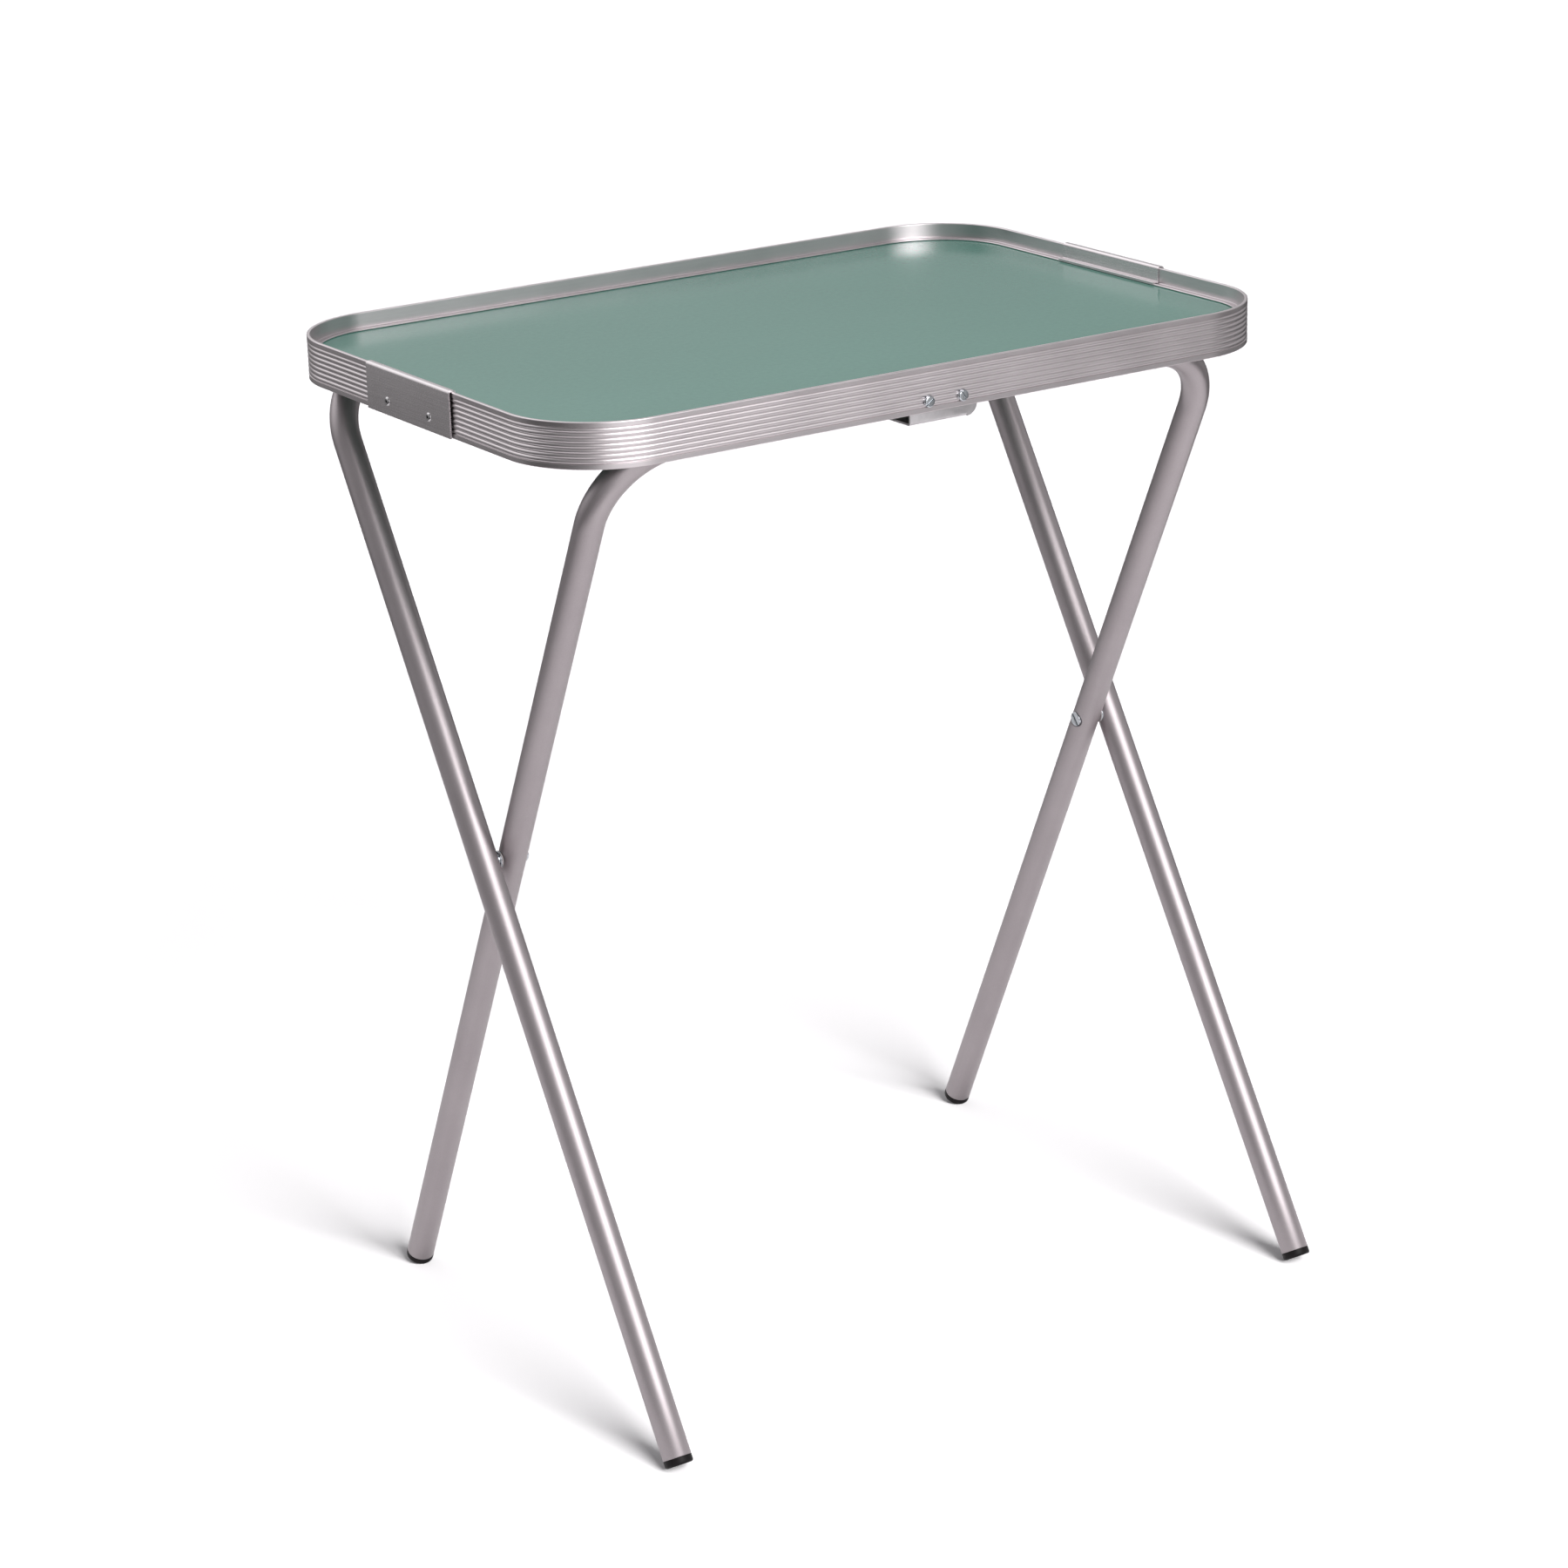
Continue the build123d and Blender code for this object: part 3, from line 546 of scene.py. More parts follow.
def make_nylon():
    m = Mat("bearing_nylon")
    m.set(Metallic=0.0)
    m.b.inputs["Subsurface Weight"].default_value = 0.15
    m.b.inputs["Subsurface Scale"].default_value = 0.002
    v = m.vec()
    a = m.noise(v, 90.0, 4.0, 0.6)
    b = m.noise(v, 3000.0, 2.0, 0.5)
    m.color(m.ramp(m.rng(a, 0.3, 0.7, 0, 1), (0.0, (0.30, 0.285, 0.285)), (1.0, (0.37, 0.35, 0.35))))
    m.rough(m.rng(b, 0.3, 0.7, 0.42, 0.55))
    m.normal(m.bump(b, 0.15, 0.00006))
    return m


def make_foot():
    m = Mat("foot_black_plastic")
    m.set(Metallic=0.0)
    m.b.inputs["Specular IOR Level"].default_value = 0.16
    v = m.vec()
    a = m.noise(v, 130.0, 5.0, 0.65)
    b = m.noise(v, 2600.0, 3.0, 0.6)
    # floor dust and scuffing on the lowest few millimetres
    sep = m.nt.nodes.new("ShaderNodeSeparateXYZ")
    m.link(m.tc.outputs["Object"], sep.inputs["Vector"])
    low = m.rng(sep.outputs["Z"], 0.0, 0.004, 1.0, 0.0)
    dust = m.math("MULTIPLY", low, m.rng(a, 0.4, 0.7, 0.0, 0.6))
    m.color(m.mix(dust, m.ramp(m.rng(a, 0.3, 0.7, 0, 1), (0.0, (0.0048, 0.0040, 0.0045)), (1.0, (0.0095, 0.0080, 0.0085))), (0.040, 0.036, 0.035)))
    m.rough(m.rng(b, 0.3, 0.7, 0.38, 0.55))
    m.normal(m.bump(b, 0.35, 0.00008))
    return m


M_LAM = make_laminate()
M_BACK = make_backing()
M_CORE = make_core()
M_RIM = make_rim()
M_CLIP = make_clip()
M_RIVET = make_rivet()
M_TUBE = make_tube()
M_BORE_SHADE = make_bore_shade()
M_ZINC = make_zinc("zinc_bright", (0.60, 0.63, 0.66), (0.44, 0.465, 0.49))
M_NUT = make_zinc("zinc_dull", (0.50, 0.52, 0.54), (0.34, 0.36, 0.38))
M_BRACKET = make_bracket()
M_NYLON = make_nylon()
M_FOOT = make_foot()

# --------------------------------------------------------------------------
# rim: drawn profile with flat-topped ribs, carried round the corners
# --------------------------------------------------------------------------
RIB_N = 7
RIB_W = 3.05
RIB_GAP = 0.42
RIB_D = 0.62
BAND = 3.6
LEDGE = 11.2
RIM_T = 2.5


def rim_profile():
    p = [(0.0, -0.7)]

    def arc(m, e, n=4):
        p.extend(arc_pts(p[-1], m, e, n))

    p.append((0.0, -BAND + 0.12))
    arc((0.035, -BAND + 0.035), (0.12, -BAND), 3)
    p.append((RIB_D - 0.1, -BAND - 0.16))
    p.append((RIB_D, -BAND - 0.25))
    z = -BAND - 0.25
    for i in range(RIB_N):
        steps = 14
        for k in range(1, steps + 1):
            t = -math.cos(math.pi * k / steps)
            u = RIB_D * abs(t) ** 2.5
            p.append((u, z - RIB_W * (t + 1) / 2))
        z -= RIB_W
        if i < RIB_N - 1:
            p.append((RIB_D, z - RIB_GAP))
            z -= RIB_GAP
    p.append((RIB_D - 0.1, z - 0.09))
    p.append((0.12, z - 0.25))
    arc((0.035, z - 0.285), (0.0, z - 0.37), 3)
    h = RIM_H / MM
    p.append((0.0, -h + 0.5))
    arc((0.146, -h + 0.146), (0.5, -h))
    p.append((RIM_T - 0.5, -h))
    arc((RIM_T - 0.146, -h + 0.146), (RIM_T, -h + 0.5))
    zb = -LEDGE - 1.0 - 4.0
    p.append((RIM_T, zb - 1.0))
    p.append((7.1, zb - 1.0))
    arc((7.6, zb - 0.5), (7.1, zb), 6)
    p.append((RIM_T, zb))
    p.append((RIM_T, -LEDGE - 1.0))
    p.append((7.1, -LEDGE - 1.0))
    arc((7.6, -LEDGE - 0.35), (7.0, -LEDGE + 0.25), 8)
    p.append((6.4, -LEDGE))
    p.append((RIM_T + 0.5, -LEDGE))
    arc((RIM_T + 0.146, -LEDGE + 0.146), (RIM_T, -LEDGE + 0.5))
    p.append((RIM_T, -0.6))
    arc((RIM_T - 0.176, -0.176), (RIM_T - 0.6, 0.0), 6)
    p.append((0.7, 0.0))
    p.extend(arc_pts(p[-1], (0.205, -0.205), (0.0, -0.7), 6)[:-1])
    return [(a * MM, b * MM) for a, b in p]


def rim_stations(side):
    hx, hy = HX, HY
    r = CORNER_R
    cx, cy = hx - r, hy - r
    y0 = 0.1 * MM
    out = []
    v = 0.0
    last = None

    def add(x, y, nx, ny):
        nonlocal v, last
        if last is not None:
            v += math.hypot(x - last[0], y - last[1])
        last = (x, y)
        out.append((Vector((side * -x, CY + side * -y, TOP)), Vector((side * -nx, side * -ny, 0)), Vector((0, 0, 1)), v))

    # written for the front half, turned half a revolution for the rear
    for t in (0.0, 0.5, 1.0):
        add(-hx, -y0 + (-cy + y0) * t, 1, 0)
    seg = 40
    for i in range(1, seg + 1):
        a = math.pi + (math.pi / 2) * i / seg
        add(-cx + r * math.cos(a), -cy + r * math.sin(a), -math.cos(a), -math.sin(a))
    for t in (0.25, 0.5, 0.75, 1.0):
        add(-cx + 2 * cx * t, -hy, 0, 1)
    for i in range(1, seg + 1):
        a = 1.5 * math.pi + (math.pi / 2) * i / seg
        add(cx + r * math.cos(a), -cy + r * math.sin(a), -math.cos(a), -math.sin(a))
    for t in (0.5, 1.0):
        add(hx, -cy + (cy - y0) * t, -1, 0)
    return out


def supported(profile, longer, near):
    """adds a point close to each end of the long flats, so that they shade flat"""
    out = []
    for i, a in enumerate(profile):
        b = profile[(i + 1) % len(profile)]
        out.append(a)
        d = math.hypot(b[0] - a[0], b[1] - a[1])
        if d > longer:
            for t in (near / d, 1 - near / d):
                out.append((a[0] + (b[0] - a[0]) * t, a[1] + (b[1] - a[1]) * t))
    return out


PROFILE = supported(rim_profile(), 0.8 * MM, 0.12 * MM)
for side, nm in ((-1, "rim_front"), (1, "rim_rear")):
    # side -1 keeps the path as written (front), +1 turns it to the rear
    ob = sweep_piece("edge_" + nm, PROFILE, rim_stations(side), sharp_deg=38)
    paint(ob, M_RIM)
    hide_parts(nm)
    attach(ob, "tabletop")

# --------------------------------------------------------------------------
# leg frames: one bent tube each
# --------------------------------------------------------------------------


def leg_frame(name, node, lo, hi, rear_bar):
    x_leg = hi.x - TUBE_R
    bar_z = hi.z - TUBE_R
    bar_y = hi.y - TUBE_R if rear_bar else lo.y + TUBE_R
    bar = Vector((0, bar_y, bar_z))
    down = Vector((0, P.y - bar_y, P.z - bar_z)).normalized()
    th = math.acos(-down.z)
    end_z = FOOT_ROUND - FOOT_ROUND * math.cos(th) + (TUBE_R - FOOT_ROUND) * math.sin(th)
    leg_len = (bar_z - end_z) / math.cos(th) - FOOT_CAP
    n = Vector((1, 0, 0)).cross(down).normalized()
    path = []

    def add(x, s, tx, ts):
        path.append((bar + Vector((x, 0, 0)) + down * s, (Vector((tx, 0, 0)) + down * ts).normalized()))

    s_piv = Vector((0, P.y - bar_y, P.z - bar_z)).length
    stops = sorted({BEND_R + (leg_len - BEND_R) * i / 12 for i in range(13)
                    if abs(BEND_R + (leg_len - BEND_R) * i / 12 - s_piv) > 12 * MM}
                   | {s_piv + d * MM for d in (-12, -10, -8, 8, 10, 12)})
    for d in reversed(stops):
        add(-x_leg, d, 0, -1)
    seg = 28
    for i in range(1, seg + 1):
        a = (math.pi / 2) * i / seg
        add(-x_leg + BEND_R - BEND_R * math.cos(a), BEND_R - BEND_R * math.sin(a), math.sin(a), -math.cos(a))
    for i in range(1, 9):
        add(-x_leg + BEND_R + 2 * (x_leg - BEND_R) * i / 8, 0, 1, 0)
    for i in range(1, seg + 1):
        a = (math.pi / 2) * i / seg
        add(x_leg - BEND_R + BEND_R * math.sin(a), BEND_R - BEND_R * math.cos(a), math.cos(a), math.sin(a))
    for d in stops[1:]:
        add(x_leg, d, 0, 1)

    # outer skin with softly broken ends, then back along the bore
    e = 0.28 * MM
    rings = []
    pts = [p for p, _ in path]
    t0, t1 = path[0][1], path[-1][1]
    v = 0.0

    def ring(p, t, rad, v):
        rings.append((p, t, rad, v))

    ring(pts[0], t0, TUBE_R - e, -e)
    ring(pts[0] + t0 * e * 0.29, t0, TUBE_R - e * 0.29, -e * 0.5)
    ring(pts[0] + t0 * e, t0, TUBE_R, 0.0)
    for i in range(1, len(path) - 1):
        v += (pts[i] - pts[i - 1]).length
        ring(pts[i], path[i][1], TUBE_R, v)
    v += (pts[-1] - pts[-2]).length
    ring(pts[-1] - t1 * e, t1, TUBE_R, v - e)
    ring(pts[-1] - t1 * e * 0.29, t1, TUBE_R - e * 0.29, v)
    ring(pts[-1], t1, TUBE_R - e, v + e)
    ring(pts[-1], t1, TUBE_R - WALL, v + 0.001)
    for i in range(len(path) - 2, 0, -1):
        v += (pts[i + 1] - pts[i]).length
        ring(pts[i], path[i][1], TUBE_R - WALL, v)
    ring(pts[0], t0, TUBE_R - WALL, v + 0.05)

    seg = 72
    bm = bmesh.new()
    uv = bm.loops.layers.uv.new("UVMap")
    vr = []
    for p, t, rad, vv in rings:
        b = t.cross(n)
        vr.append([bm.verts.new(p + (n * math.cos(2 * math.pi * k / seg) + b * math.sin(2 * math.pi * k / seg)) * rad) for k in range(seg)])
    for s in range(len(vr)):
        q = (s + 1) % len(vr)
        va = rings[s][3]
        vb = rings[q][3] if q else rings[s][3] + 0.001
        for k in range(seg):
            m = (k + 1) % seg
            f = bm.faces.new((vr[s][k], vr[s][m], vr[q][m], vr[q][k]))
            a0, a1 = k * 2 * math.pi / seg * TUBE_R, (k + 1) * 2 * math.pi / seg * TUBE_R
            for lp, c in zip(f.loops, ((a0, va), (a1, va), (a1, vb), (a0, vb))):
                lp[uv].uv = c
    bmesh.ops.recalc_face_normals(bm, faces=bm.faces)
    me = bpy.data.meshes.new(name)
    bm.to_mesh(me)
    bm.free()
    finish_mesh(me, 50)
    ob = new_piece(name, me)
    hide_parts(node)
    paint(ob, M_TUBE)
    return ob, x_leg, bar, down, leg_len


outer, OX, O_BAR, O_DOWN, O_LEN = leg_frame("outer_tube", "outer_leg_frame", of_lo, of_hi, True)
inner, IX, I_BAR, I_DOWN, I_LEN = leg_frame("inner_tube", "inner_leg_frame", if_lo, if_hi, False)


def boolean(ob, cutter_mesh, operation):
    """applies one exact boolean to a piece and drops the cutter"""
    cutter = new_piece("cutter", cutter_mesh)
    mod = ob.modifiers.new("cut", "BOOLEAN")
    mod.operation = operation
    mod.solver = "EXACT"
    mod.object = cutter
    bpy.context.view_layer.update()
    dg = bpy.context.evaluated_depsgraph_get()
    final = bpy.data.meshes.new_from_object(ob.evaluated_get(dg))
    ob.modifiers.clear()
    bm = bmesh.new()
    bm.from_mesh(final)
    bmesh.ops.remove_doubles(bm, verts=bm.verts, dist=0.002 * MM)
    bmesh.ops.dissolve_degenerate(bm, edges=bm.edges, dist=0.001 * MM)
    bm.to_mesh(final)
    bm.free()
    ob.data = final
    bpy.data.objects.remove(cutter)


def cross_mesh(centre, rings, seg=64):
    """closed round solid along X; rings are (x offset, radius, shape), shape bends a ring to the tube's skin"""
    bm = bmesh.new()
    vr = []
    for x, rad, shape in rings:
        row = []
        for k in range(seg):
            a = 2 * math.pi * k / seg
            dy, dz = rad * math.cos(a), rad * math.sin(a)
            row.append(bm.verts.new((centre.x + x + (shape(dy, dz) if shape else 0.0), centre.y + dy, centre.z + dz)))
        vr.append(row)
    for s_ in range(len(vr) - 1):
        for k in range(seg):
            m = (k + 1) % seg
            bm.faces.new((vr[s_][k], vr[s_][m], vr[s_ + 1][m], vr[s_ + 1][k]))
    for row in (vr[0], vr[-1]):
        x = sum(v.co.x for v in row) / seg
        mid = bm.verts.new((x, centre.y, centre.z))
        for k in range(seg):
            bm.faces.new((row[k], row[(k + 1) % seg], mid))
    bmesh.ops.recalc_face_normals(bm, faces=bm.faces)
    me = bpy.data.meshes.new("cutter")
    bm.to_mesh(me)
    bm.free()
    return me


def drill(ob, centre, rad, length):
    """bores a round hole along X through a tube wall"""
    boolean(ob, cross_mesh(centre, [(-length / 2, rad, None), (length / 2, rad, None)], 48), "DIFFERENCE")


POCKET_R, POCKET_DEEP, POCKET_WALL = 5.8 * MM, 2.3 * MM, 1.0 * MM


def press_pocket(ob, sx, down):
    """dished pocket on the inward side of a leg: its lining, its rounded mouth and its bore"""
    crest = Vector((sx * (IX - TUBE_R), P.y, P.z))
    across = Vector((0, -down.z, down.y)).normalized()

    def skin(extra):
        def shape(dy, dz):
            w = dy * across.y + dz * across.z
            return sx * (TUBE_R - math.sqrt(TUBE_R ** 2 - w * w) + extra)
        return shape

    rr = POCKET_R + POCKET_WALL
    rings = [(0.0, rr * t, skin(0.35 * MM)) for t in (0.15, 0.4, 0.65, 0.85, 1.0)]
    rings += [(sx * (POCKET_DEEP + POCKET_WALL), rr - 0.0002 * 0.3, None)]
    boolean(ob, cross_mesh(crest, rings), "UNION")
    lip = [(0.0, POCKET_R + 0.62 * MM, skin(-0.55 * MM)), (0.0, POCKET_R + 0.46 * MM, skin(0.02 * MM)),
           (0.0, POCKET_R + 0.22 * MM, skin(0.16 * MM)), (0.0, POCKET_R + 0.07 * MM, skin(0.32 * MM)), (0.0, POCKET_R, skin(0.55 * MM)),
           (sx * POCKET_DEEP, POCKET_R - 0.01 * MM, None)]
    # the bore's floor is level, so the shaped rings stop short of it

    def held(f):
        return lambda dy, dz: sx * min(abs(f(dy, dz)) if f(dy, dz) * sx > 0 else f(dy, dz) * sx, POCKET_DEEP - 0.05 * MM)

    lip = [(x, r_, held(f) if f else None) for x, r_, f in lip]
    lip.insert(0, (-sx * 1.0 * MM, POCKET_R + 0.62 * MM, None))
    boolean(ob, cross_mesh(crest, lip), "DIFFERENCE")


for sx in (-1, 1):
    press_pocket(inner, sx, I_DOWN)
    drill(inner, Vector((sx * IX, P.y, P.z)), 3.05 * MM, 2 * TUBE_R + 4 * MM)
    drill(outer, Vector((sx * (OX - TUBE_R / 2 - 1 * MM), P.y, P.z)), 4.5 * MM, TUBE_R + 2 * MM)


def skin_normals(me, x_leg, bar, down, leg_len):
    """keeps the tube's round shading where faces were cut: skin corners take the radial normal"""
    out = [Vector(c.vector) for c in me.corner_normals]
    for poly in me.polygons:
        for li in poly.loop_indices:
            co = me.vertices[me.loops[li].vertex_index].co
            rel = Vector((0, co.y - bar.y, co.z - bar.z))
            s_ = rel.dot(down)
            if not BEND_R < s_ < leg_len - 1 * MM:
                continue
            off = rel - down * s_
            off.x = co.x - math.copysign(x_leg, co.x)
            if abs(off.length - TUBE_R) < 0.03 * MM and poly.normal.dot(off.normalized()) > 0.97:
                out[li] = off.normalized()
    me.normals_split_custom_set(out)


for ob, body, geo in ((outer, "outer_frame", (OX, O_BAR, O_DOWN, O_LEN)), (inner, "inner_frame", (IX, I_BAR, I_DOWN, I_LEN))):
    finish_mesh(ob.data, 50)
    skin_normals(ob.data, *geo)
    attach(ob, body)

# --------------------------------------------------------------------------
# feet: moulded plugs with a fine joint line at the tube's end
# --------------------------------------------------------------------------
R = TUBE_R


def foot_profile():
    c = FOOT_CAP
    f = FOOT_ROUND
    p = [(0.0, c - 0.25 * MM), (R * 0.45, c - 0.25 * MM), (R * 0.47, c - 0.05 * MM), (R * 0.5, c), (R - f, c)]
    for i in range(1, 9):
        a = (math.pi / 2) * i / 8
        p.append((R - f + f * math.sin(a), c - f + f * math.cos(a)))
    p += [(R, 0.22 * MM), (R - 0.06 * MM, 0.07 * MM), (R - 0.22 * MM, 0.0), (R - WALL - 0.02 * MM, 0.0)]
    inner_r = R - WALL - 0.02 * MM
    p += [(inner_r, -19.0 * MM), (inner_r - 1.0 * MM, -20.0 * MM), (inner_r - 2.2 * MM, -20.0 * MM)]
    p += [(inner_r - 2.2 * MM, -0.4 * MM), (0.0, -0.4 * MM)]
    return p


def foot(name, node, body, x, bar, down, length):
    me = lathe_mesh(name, foot_profile(), 96)
    z = down
    xax = Vector((1, 0, 0))
    yax = z.cross(xax)
    rot = Matrix((xax, yax, z)).transposed().to_4x4()
    me.transform(Matrix.Translation(bar + Vector((x, 0, 0)) + down * length) @ rot)
    finish_mesh(me, 35)
    ob = new_piece(name, me)
    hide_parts(node)
    paint(ob, M_FOOT)
    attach(ob, body)


for nm, sx in (("left", -1), ("right", 1)):
    foot("plug_outer_" + nm, "outer_foot_" + nm, "outer_frame", sx * OX, O_BAR, O_DOWN, O_LEN)
    foot("plug_inner_" + nm, "inner_foot_" + nm, "inner_frame", sx * IX, I_BAR, I_DOWN, I_LEN)

# --------------------------------------------------------------------------
# joint clips: one sheet folded over the rim, edges softly broken
# --------------------------------------------------------------------------


def clip_profile(t=1.2, g=1.0):
    """closed outline in mm: u inward from the rim's outer face, z up from its top edge"""
    k = 1 - math.sqrt(0.5)
    h = RIM_H / MM
    zf = -LEDGE + 0.26
    fin = 8.2
    e = 0.12
    p = [(-g, -h + e)]

    def go(*q):
        p.append(q)

    def bend(cx, cy, rad, a0, a1, n):
        for i in range(n + 1):
            a = math.radians(a0 + (a1 - a0) * i / n)
            p.append((cx + rad * math.cos(a), cy + rad * math.sin(a)))

    bend(-g + 0.9, -0.9, 0.9, 180, 90, 8)
    bend(RIM_T - 0.6, -0.6, 0.6, 90, 0, 6)
    bend(RIM_T + 1.0, zf + 1.0, 1.0, 180, 270, 7)
    bend(fin - 0.3, zf + 0.3, 0.3, 270, 360, 4)
    bend(fin - 0.3, zf + t - 0.3, 0.3, 0, 90, 4)
    bend(RIM_T + t + 0.4, zf + t + 0.4, 0.4, 270, 180, 4)
    bend(RIM_T + t - 1.8, t - 1.8, 1.8, 0, 90, 10)
    bend(-g - t + 2.1, t - 2.1, 2.1, 90, 180, 12)
    go(-g - t, -h + e)
    go(-g - t + e * 0.3, -h + e * 0.3)
    go(-g - t + e, -h)
    go(-g - e, -h)
    go(-g - e * 0.3, -h + e * 0.3)
    return p


def clip_piece(name, node, sx):
    prof = clip_profile()
    # inset copy of the outline for the broken end edges
    n = len(prof)
    area2 = sum(prof[i][0] * prof[(i + 1) % n][1] - prof[(i + 1) % n][0] * prof[i][1] for i in range(n))
    sgn = 1 if area2 > 0 else -1

    def inset(d):
        out = []
        for i in range(n):
            a, b, c = prof[i - 1], prof[i], prof[(i + 1) % n]
            n1 = Vector((-(b[1] - a[1]), b[0] - a[0])).normalized()
            n2 = Vector((-(c[1] - b[1]), c[0] - b[0])).normalized()
            m = (n1 + n2).normalized() * sgn * d
            out.append((b[0] + m.x, b[1] + m.y))
        return out

    half = 57.0
    rows = [(-half, inset(0.11)), (-half + 0.04, inset(0.035)), (-half + 0.12, prof), (-half + 0.4, prof)]
    rows += [(y, prof) for y in (-28.5, 0.0, 28.5)]
    rows += [(half - 0.4, prof), (half - 0.12, prof), (half - 0.04, inset(0.035)), (half, inset(0.11))]
    per = [0.0]
    for i in range(n):
        a, b = prof[i], prof[(i + 1) % n]
        per.append(per[-1] + math.hypot(b[0] - a[0], b[1] - a[1]))
    bm = bmesh.new()
    uv = bm.loops.layers.uv.new("UVMap")
    vr = [[bm.verts.new((sx * (HX - q[0] * MM), CY + y * MM, TOP + q[1] * MM)) for q in pr] for y, pr in rows]
    for s_ in range(len(rows) - 1):
        for i in range(n):
            j = (i + 1) % n
            f = bm.faces.new((vr[s_][i], vr[s_][j], vr[s_ + 1][j], vr[s_ + 1][i]))
            v0, v1 = rows[s_][0] * MM, rows[s_ + 1][0] * MM
            for lp, c in zip(f.loops, ((v0, per[i] * MM), (v0, per[i + 1] * MM), (v1, per[i + 1] * MM), (v1, per[i] * MM))):
                lp[uv].uv = c
    for row in (vr[0], vr[-1]):
        cap_end(bm, uv, row, rows[0][1])
    bmesh.ops.recalc_face_normals(bm, faces=bm.faces)
    me = bpy.data.meshes.new(name)
    bm.to_mesh(me)
    bm.free()
    finish_mesh(me, 21)
    ob = new_piece(name, me)
    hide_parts(node)
    paint(ob, M_CLIP)
    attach(ob, "tabletop")


clip_piece("clip_left", "joint_clip_left", -1)
clip_piece("clip_right", "joint_clip_right", 1)

# --------------------------------------------------------------------------
# sheet parts, fasteners and bearings: the CAD shapes with broken edges
# --------------------------------------------------------------------------
for nm in ("left", "right"):
    for node, mat, slot, body, bev in (
        ("clip_rivets_" + nm, M_RIVET, "rivets", "tabletop", 0.08),
        ("hinge_strap_" + nm, M_BRACKET, "bracket_steel", "tabletop", 0.18),
        ("hinge_liner_" + nm, M_NYLON, "bearing_plastic", "tabletop", 0.15),
        ("strap_screws_" + nm, M_ZINC, "zinc_fasteners", "tabletop", 0.1),
        ("strap_nuts_" + nm, M_NUT, "zinc_fasteners", "tabletop", 0.2),
        ("pivot_insert_" + nm, M_ZINC, "zinc_fasteners", "outer_frame", 0.12),
        ("pivot_screw_" + nm, M_ZINC, "zinc_fasteners", "outer_frame", 0.12),
        ("pivot_washer_" + nm, M_NYLON, "bearing_plastic", "outer_frame", 0.1),
    ):
        ob = refined(node, node + "_detail", bev)
        paint(ob, mat)
        if node.startswith("clip_rivets"):
            # faces inside the rivet bores take the near-black painted shade
            ob.data.materials.append(M_BORE_SHADE.m)
            axes = [(CY + dy * MM, TOP - 21.8 * MM) for dy in (-28.5, 28.5)]
            for f in ob.data.polygons:
                c = f.center
                if abs(c.x) - HX > 1.7 * MM and min(math.hypot(c.y - y, c.z - z) for y, z in axes) < 1.12 * MM:
                    f.material_index = 1
        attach(ob, body)
for node, mat, slot, bev in (
    ("front_catch", M_BRACKET, "bracket_steel", 0.2),
    ("catch_screws", M_ZINC, "zinc_fasteners", 0.1),
    ("catch_nuts", M_NUT, "zinc_fasteners", 0.2),
):
    ob = refined(node, node + "_detail", bev)
    paint(ob, mat)
    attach(ob, "tabletop")

paint_cad("top_laminate", M_LAM)
paint_cad("top_board", M_CORE)
paint_cad("backing_sheet", M_BACK)

# --------------------------------------------------------------------------
# floor
# --------------------------------------------------------------------------


def disc(name, radius, seg=96, rings=6):
    bm = bmesh.new()
    mid_v = bm.verts.new((0, CY, 0))
    last = None
    for k in range(1, rings + 1):
        rad = radius * k / rings
        row = [bm.verts.new((rad * math.cos(2 * math.pi * i / seg), CY + rad * math.sin(2 * math.pi * i / seg), 0)) for i in range(seg)]
        for i in range(seg):
            j = (i + 1) % seg
            bm.faces.new((mid_v, row[i], row[j]) if last is None else (last[i], row[i], row[j], last[j]))
        last = row
    bmesh.ops.recalc_face_normals(bm, faces=bm.faces)
    for f in bm.faces:
        if f.normal.z < 0:
            f.normal_flip()
    me = bpy.data.meshes.new(name)
    bm.to_mesh(me)
    bm.free()
    ob = new_piece(name, me)
    return ob


def floor_paper(name, lo, hi):
    mat = bpy.data.materials.new(name)
    mat.use_nodes = True
    nt = mat.node_tree
    nt.nodes.clear()
    out = nt.nodes.new("ShaderNodeOutputMaterial")
    di = nt.nodes.new("ShaderNodeBsdfDiffuse")
    tc = nt.nodes.new("ShaderNodeTexCoord")
    no = nt.nodes.new("ShaderNodeTexNoise")
    no.inputs["Scale"].default_value = 1.5
    ra = nt.nodes.new("ShaderNodeValToRGB")
    ra.color_ramp.elements[0].position = 0.3
    ra.color_ramp.elements[0].color = (*lo, 1)
    ra.color_ramp.elements[1].position = 0.7
    ra.color_ramp.elements[1].color = (*hi, 1)
    nt.links.new(tc.outputs["Object"], no.inputs["Vector"])
    nt.links.new(no.outputs["Fac"], ra.inputs["Fac"])
    nt.links.new(ra.outputs["Color"], di.inputs["Color"])
    nt.links.new(di.outputs[0], out.inputs["Surface"])
    return mat


# the floor that is seen, and the smaller sheet of paper that bounces light
FLOOR_SEEN = 0.35
floor = disc("studio_floor", 14.0)
floor.data.materials.append(floor_paper("floor_seen", (FLOOR_SEEN * 0.99, FLOOR_SEEN * 0.975, FLOOR_SEEN), (FLOOR_SEEN * 1.0, FLOOR_SEEN * 0.985, FLOOR_SEEN * 1.01)))
floor.visible_diffuse = False
floor.visible_glossy = False
floor.visible_shadow = False
paper = disc("studio_paper", 1.35)
paper.data.materials.append(floor_paper("floor_paper", (0.87, 0.855, 0.865), (0.88, 0.865, 0.875)))
paper.location.z = -0.0005
paper.visible_camera = False
paper.visible_shadow = False

# --------------------------------------------------------------------------
# light
# --------------------------------------------------------------------------


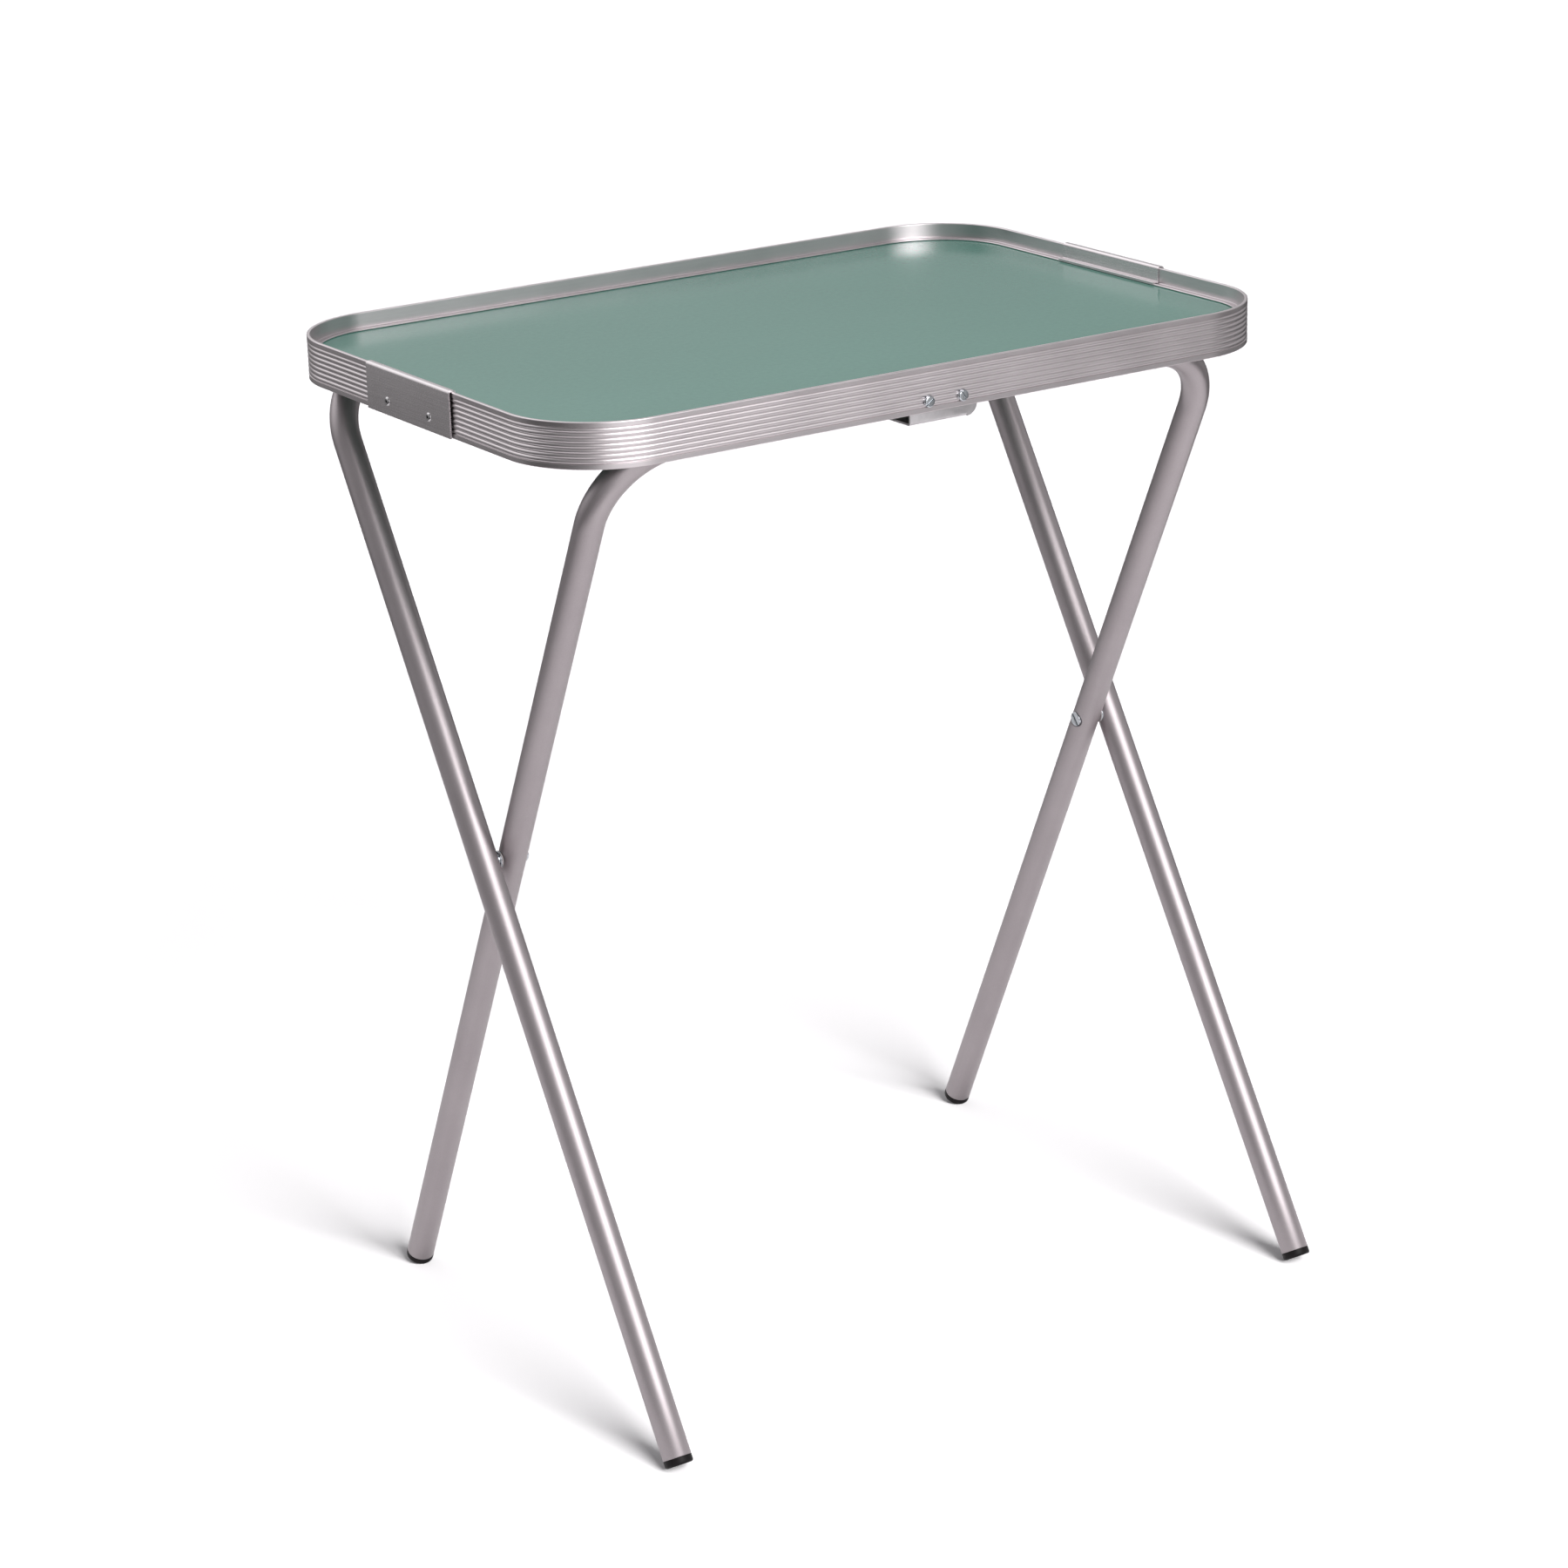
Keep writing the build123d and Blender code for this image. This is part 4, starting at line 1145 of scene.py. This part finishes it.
def area(name, loc, target, size_x, size_y, radiance, colour=(1, 1, 1), spread=180):
    li = bpy.data.lights.new(name, "AREA")
    li.shape = "RECTANGLE"
    li.size = size_x
    li.size_y = size_y
    # a Lambertian panel's radiance is power / (pi * area)
    li.energy = radiance * math.pi * size_x * size_y
    li.color = colour
    li.spread = math.radians(spread)
    ob = bpy.data.objects.new(name, li)
    bpy.context.scene.collection.objects.link(ob)
    ob.location = loc
    ob.rotation_euler = (Vector(target) - Vector(loc)).to_track_quat("-Z", "Y").to_euler()
    ob.visible_camera = False
    return ob


mid = Vector((0.0, CY, 0.4))


def toward(az, el):
    a, e = math.radians(az), math.radians(el)
    return Vector((math.cos(a) * math.cos(e), math.sin(a) * math.cos(e), math.sin(e)))


# softboxes: (name, azimuth, elevation, distance, width, height, radiance)
BOXES = [
    ("key_left", 262, 31, 2.8, 1.6, 1.9, 4.2),
    ("key_right", 278, 31, 2.8, 1.6, 1.9, 3.4),
]
for nm, az, el, dist, w, h, rad in BOXES:
    area(nm, mid + toward(az, el) * dist, mid, w, h, rad, (1.0, 0.985, 0.99))

# a broad light for the paper under the table alone, which draws the legs' soft shadows
lit = bpy.data.collections.new("floor_only")
lit.objects.link(floor)
cast = bpy.data.collections.new("legs_only")
for nm in ("outer_tube", "inner_tube", "plug_outer_left", "plug_outer_right", "plug_inner_left", "plug_inner_right"):
    cast.objects.link(bpy.data.objects[nm])
sun = bpy.data.lights.new("floor_light", "SUN")
sun.energy = 13.4
sun.angle = math.radians(31)
sun.color = (1.0, 1.0, 0.985)
sun_ob = bpy.data.objects.new("floor_light", sun)
bpy.context.scene.collection.objects.link(sun_ob)
sun_ob.rotation_euler = (-toward(270, 33)).to_track_quat("-Z", "Y").to_euler()
sun_ob.light_linking.receiver_collection = lit
sun_ob.light_linking.blocker_collection = cast

# the studio round the table: soft fields of light (azimuth, elevation, half width in degrees, radiance)
FIELDS = [
    (270, -15, 42, 1.07),
    (315, -15, 42, 0.07),
    (90, -15, 42, 0.13),
    (0, 16, 42, 0.49),
    (90, 16, 42, 0.14),
    (135, 16, 42, 0.59),
    (180, 16, 42, 0.20),
    (225, 16, 42, 0.40),
    (270, 16, 42, 0.09),
    (315, 16, 42, 0.36),
    (60, 46, 48, 1.03),
    (120, 46, 48, 1.06),
    (0, 90, 45, 0.51),
]
BASE = 0.0

world = bpy.data.worlds.new("studio")
bpy.context.scene.world = world
world.use_nodes = True
wn = world.node_tree
wn.nodes.clear()
w_out = wn.nodes.new("ShaderNodeOutputWorld")
w_tc = wn.nodes.new("ShaderNodeTexCoord")
w_total = wn.nodes.new("ShaderNodeMath")
w_total.name = "base"
w_total.operation = "ADD"
w_total.inputs[0].default_value = BASE
w_total.inputs[1].default_value = 0.0
w_sum = w_total.outputs[0]
for i, (az, el, width, rad) in enumerate(FIELDS):
    dot = wn.nodes.new("ShaderNodeVectorMath")
    dot.operation = "DOT_PRODUCT"
    dot.inputs[1].default_value = toward(az, el)
    wn.links.new(w_tc.outputs["Generated"], dot.inputs[0])
    rg = wn.nodes.new("ShaderNodeMapRange")
    rg.interpolation_type = "SMOOTHSTEP"
    rg.inputs["From Min"].default_value = math.cos(math.radians(width))
    rg.inputs["From Max"].default_value = 1.0
    wn.links.new(dot.outputs["Value"], rg.inputs["Value"])
    mul = wn.nodes.new("ShaderNodeMath")
    mul.name = f"field_{i}"
    mul.operation = "MULTIPLY"
    mul.inputs[1].default_value = rad
    wn.links.new(rg.outputs["Result"], mul.inputs[0])
    add = wn.nodes.new("ShaderNodeMath")
    add.operation = "ADD"
    wn.links.new(w_sum, add.inputs[0])
    wn.links.new(mul.outputs[0], add.inputs[1])
    w_sum = add.outputs[0]
w_bg = wn.nodes.new("ShaderNodeBackground")
w_bg.inputs["Color"].default_value = (1.0, 0.99, 1.0, 1)
wn.links.new(w_sum, w_bg.inputs["Strength"])
wn.links.new(w_bg.outputs["Background"], w_out.inputs["Surface"])

bpy.context.scene.view_settings.view_transform = "Standard"

# --------------------------------------------------------------------------
# camera
# --------------------------------------------------------------------------
yaw, pitch, roll = 0.5815, 0.3506, -0.0272
fwd = Vector((math.sin(yaw) * math.cos(pitch), math.cos(yaw) * math.cos(pitch), -math.sin(pitch)))
right = Vector((math.cos(yaw), -math.sin(yaw), 0))
up = right.cross(fwd)
ax = right * math.cos(roll) + up * math.sin(roll)
ay = -right * math.sin(roll) + up * math.cos(roll)
cam = bpy.data.cameras.new("camera")
cam.lens = 4822.5035 / 1800 * 36
cam.sensor_width = 36
cam.shift_x = (900 - 897.7329) / 1800
cam.shift_y = (997.4492 - 900) / 1800
cam.clip_end = 60
cam_ob = bpy.data.objects.new("camera", cam)
bpy.context.scene.collection.objects.link(cam_ob)
rot = Matrix((ax, ay, -fwd)).transposed().to_4x4()
cam_ob.matrix_world = Matrix.Translation((-1.6185174, -2.4459665 + CY, 1.377108)) @ rot
bpy.context.scene.camera = cam_ob
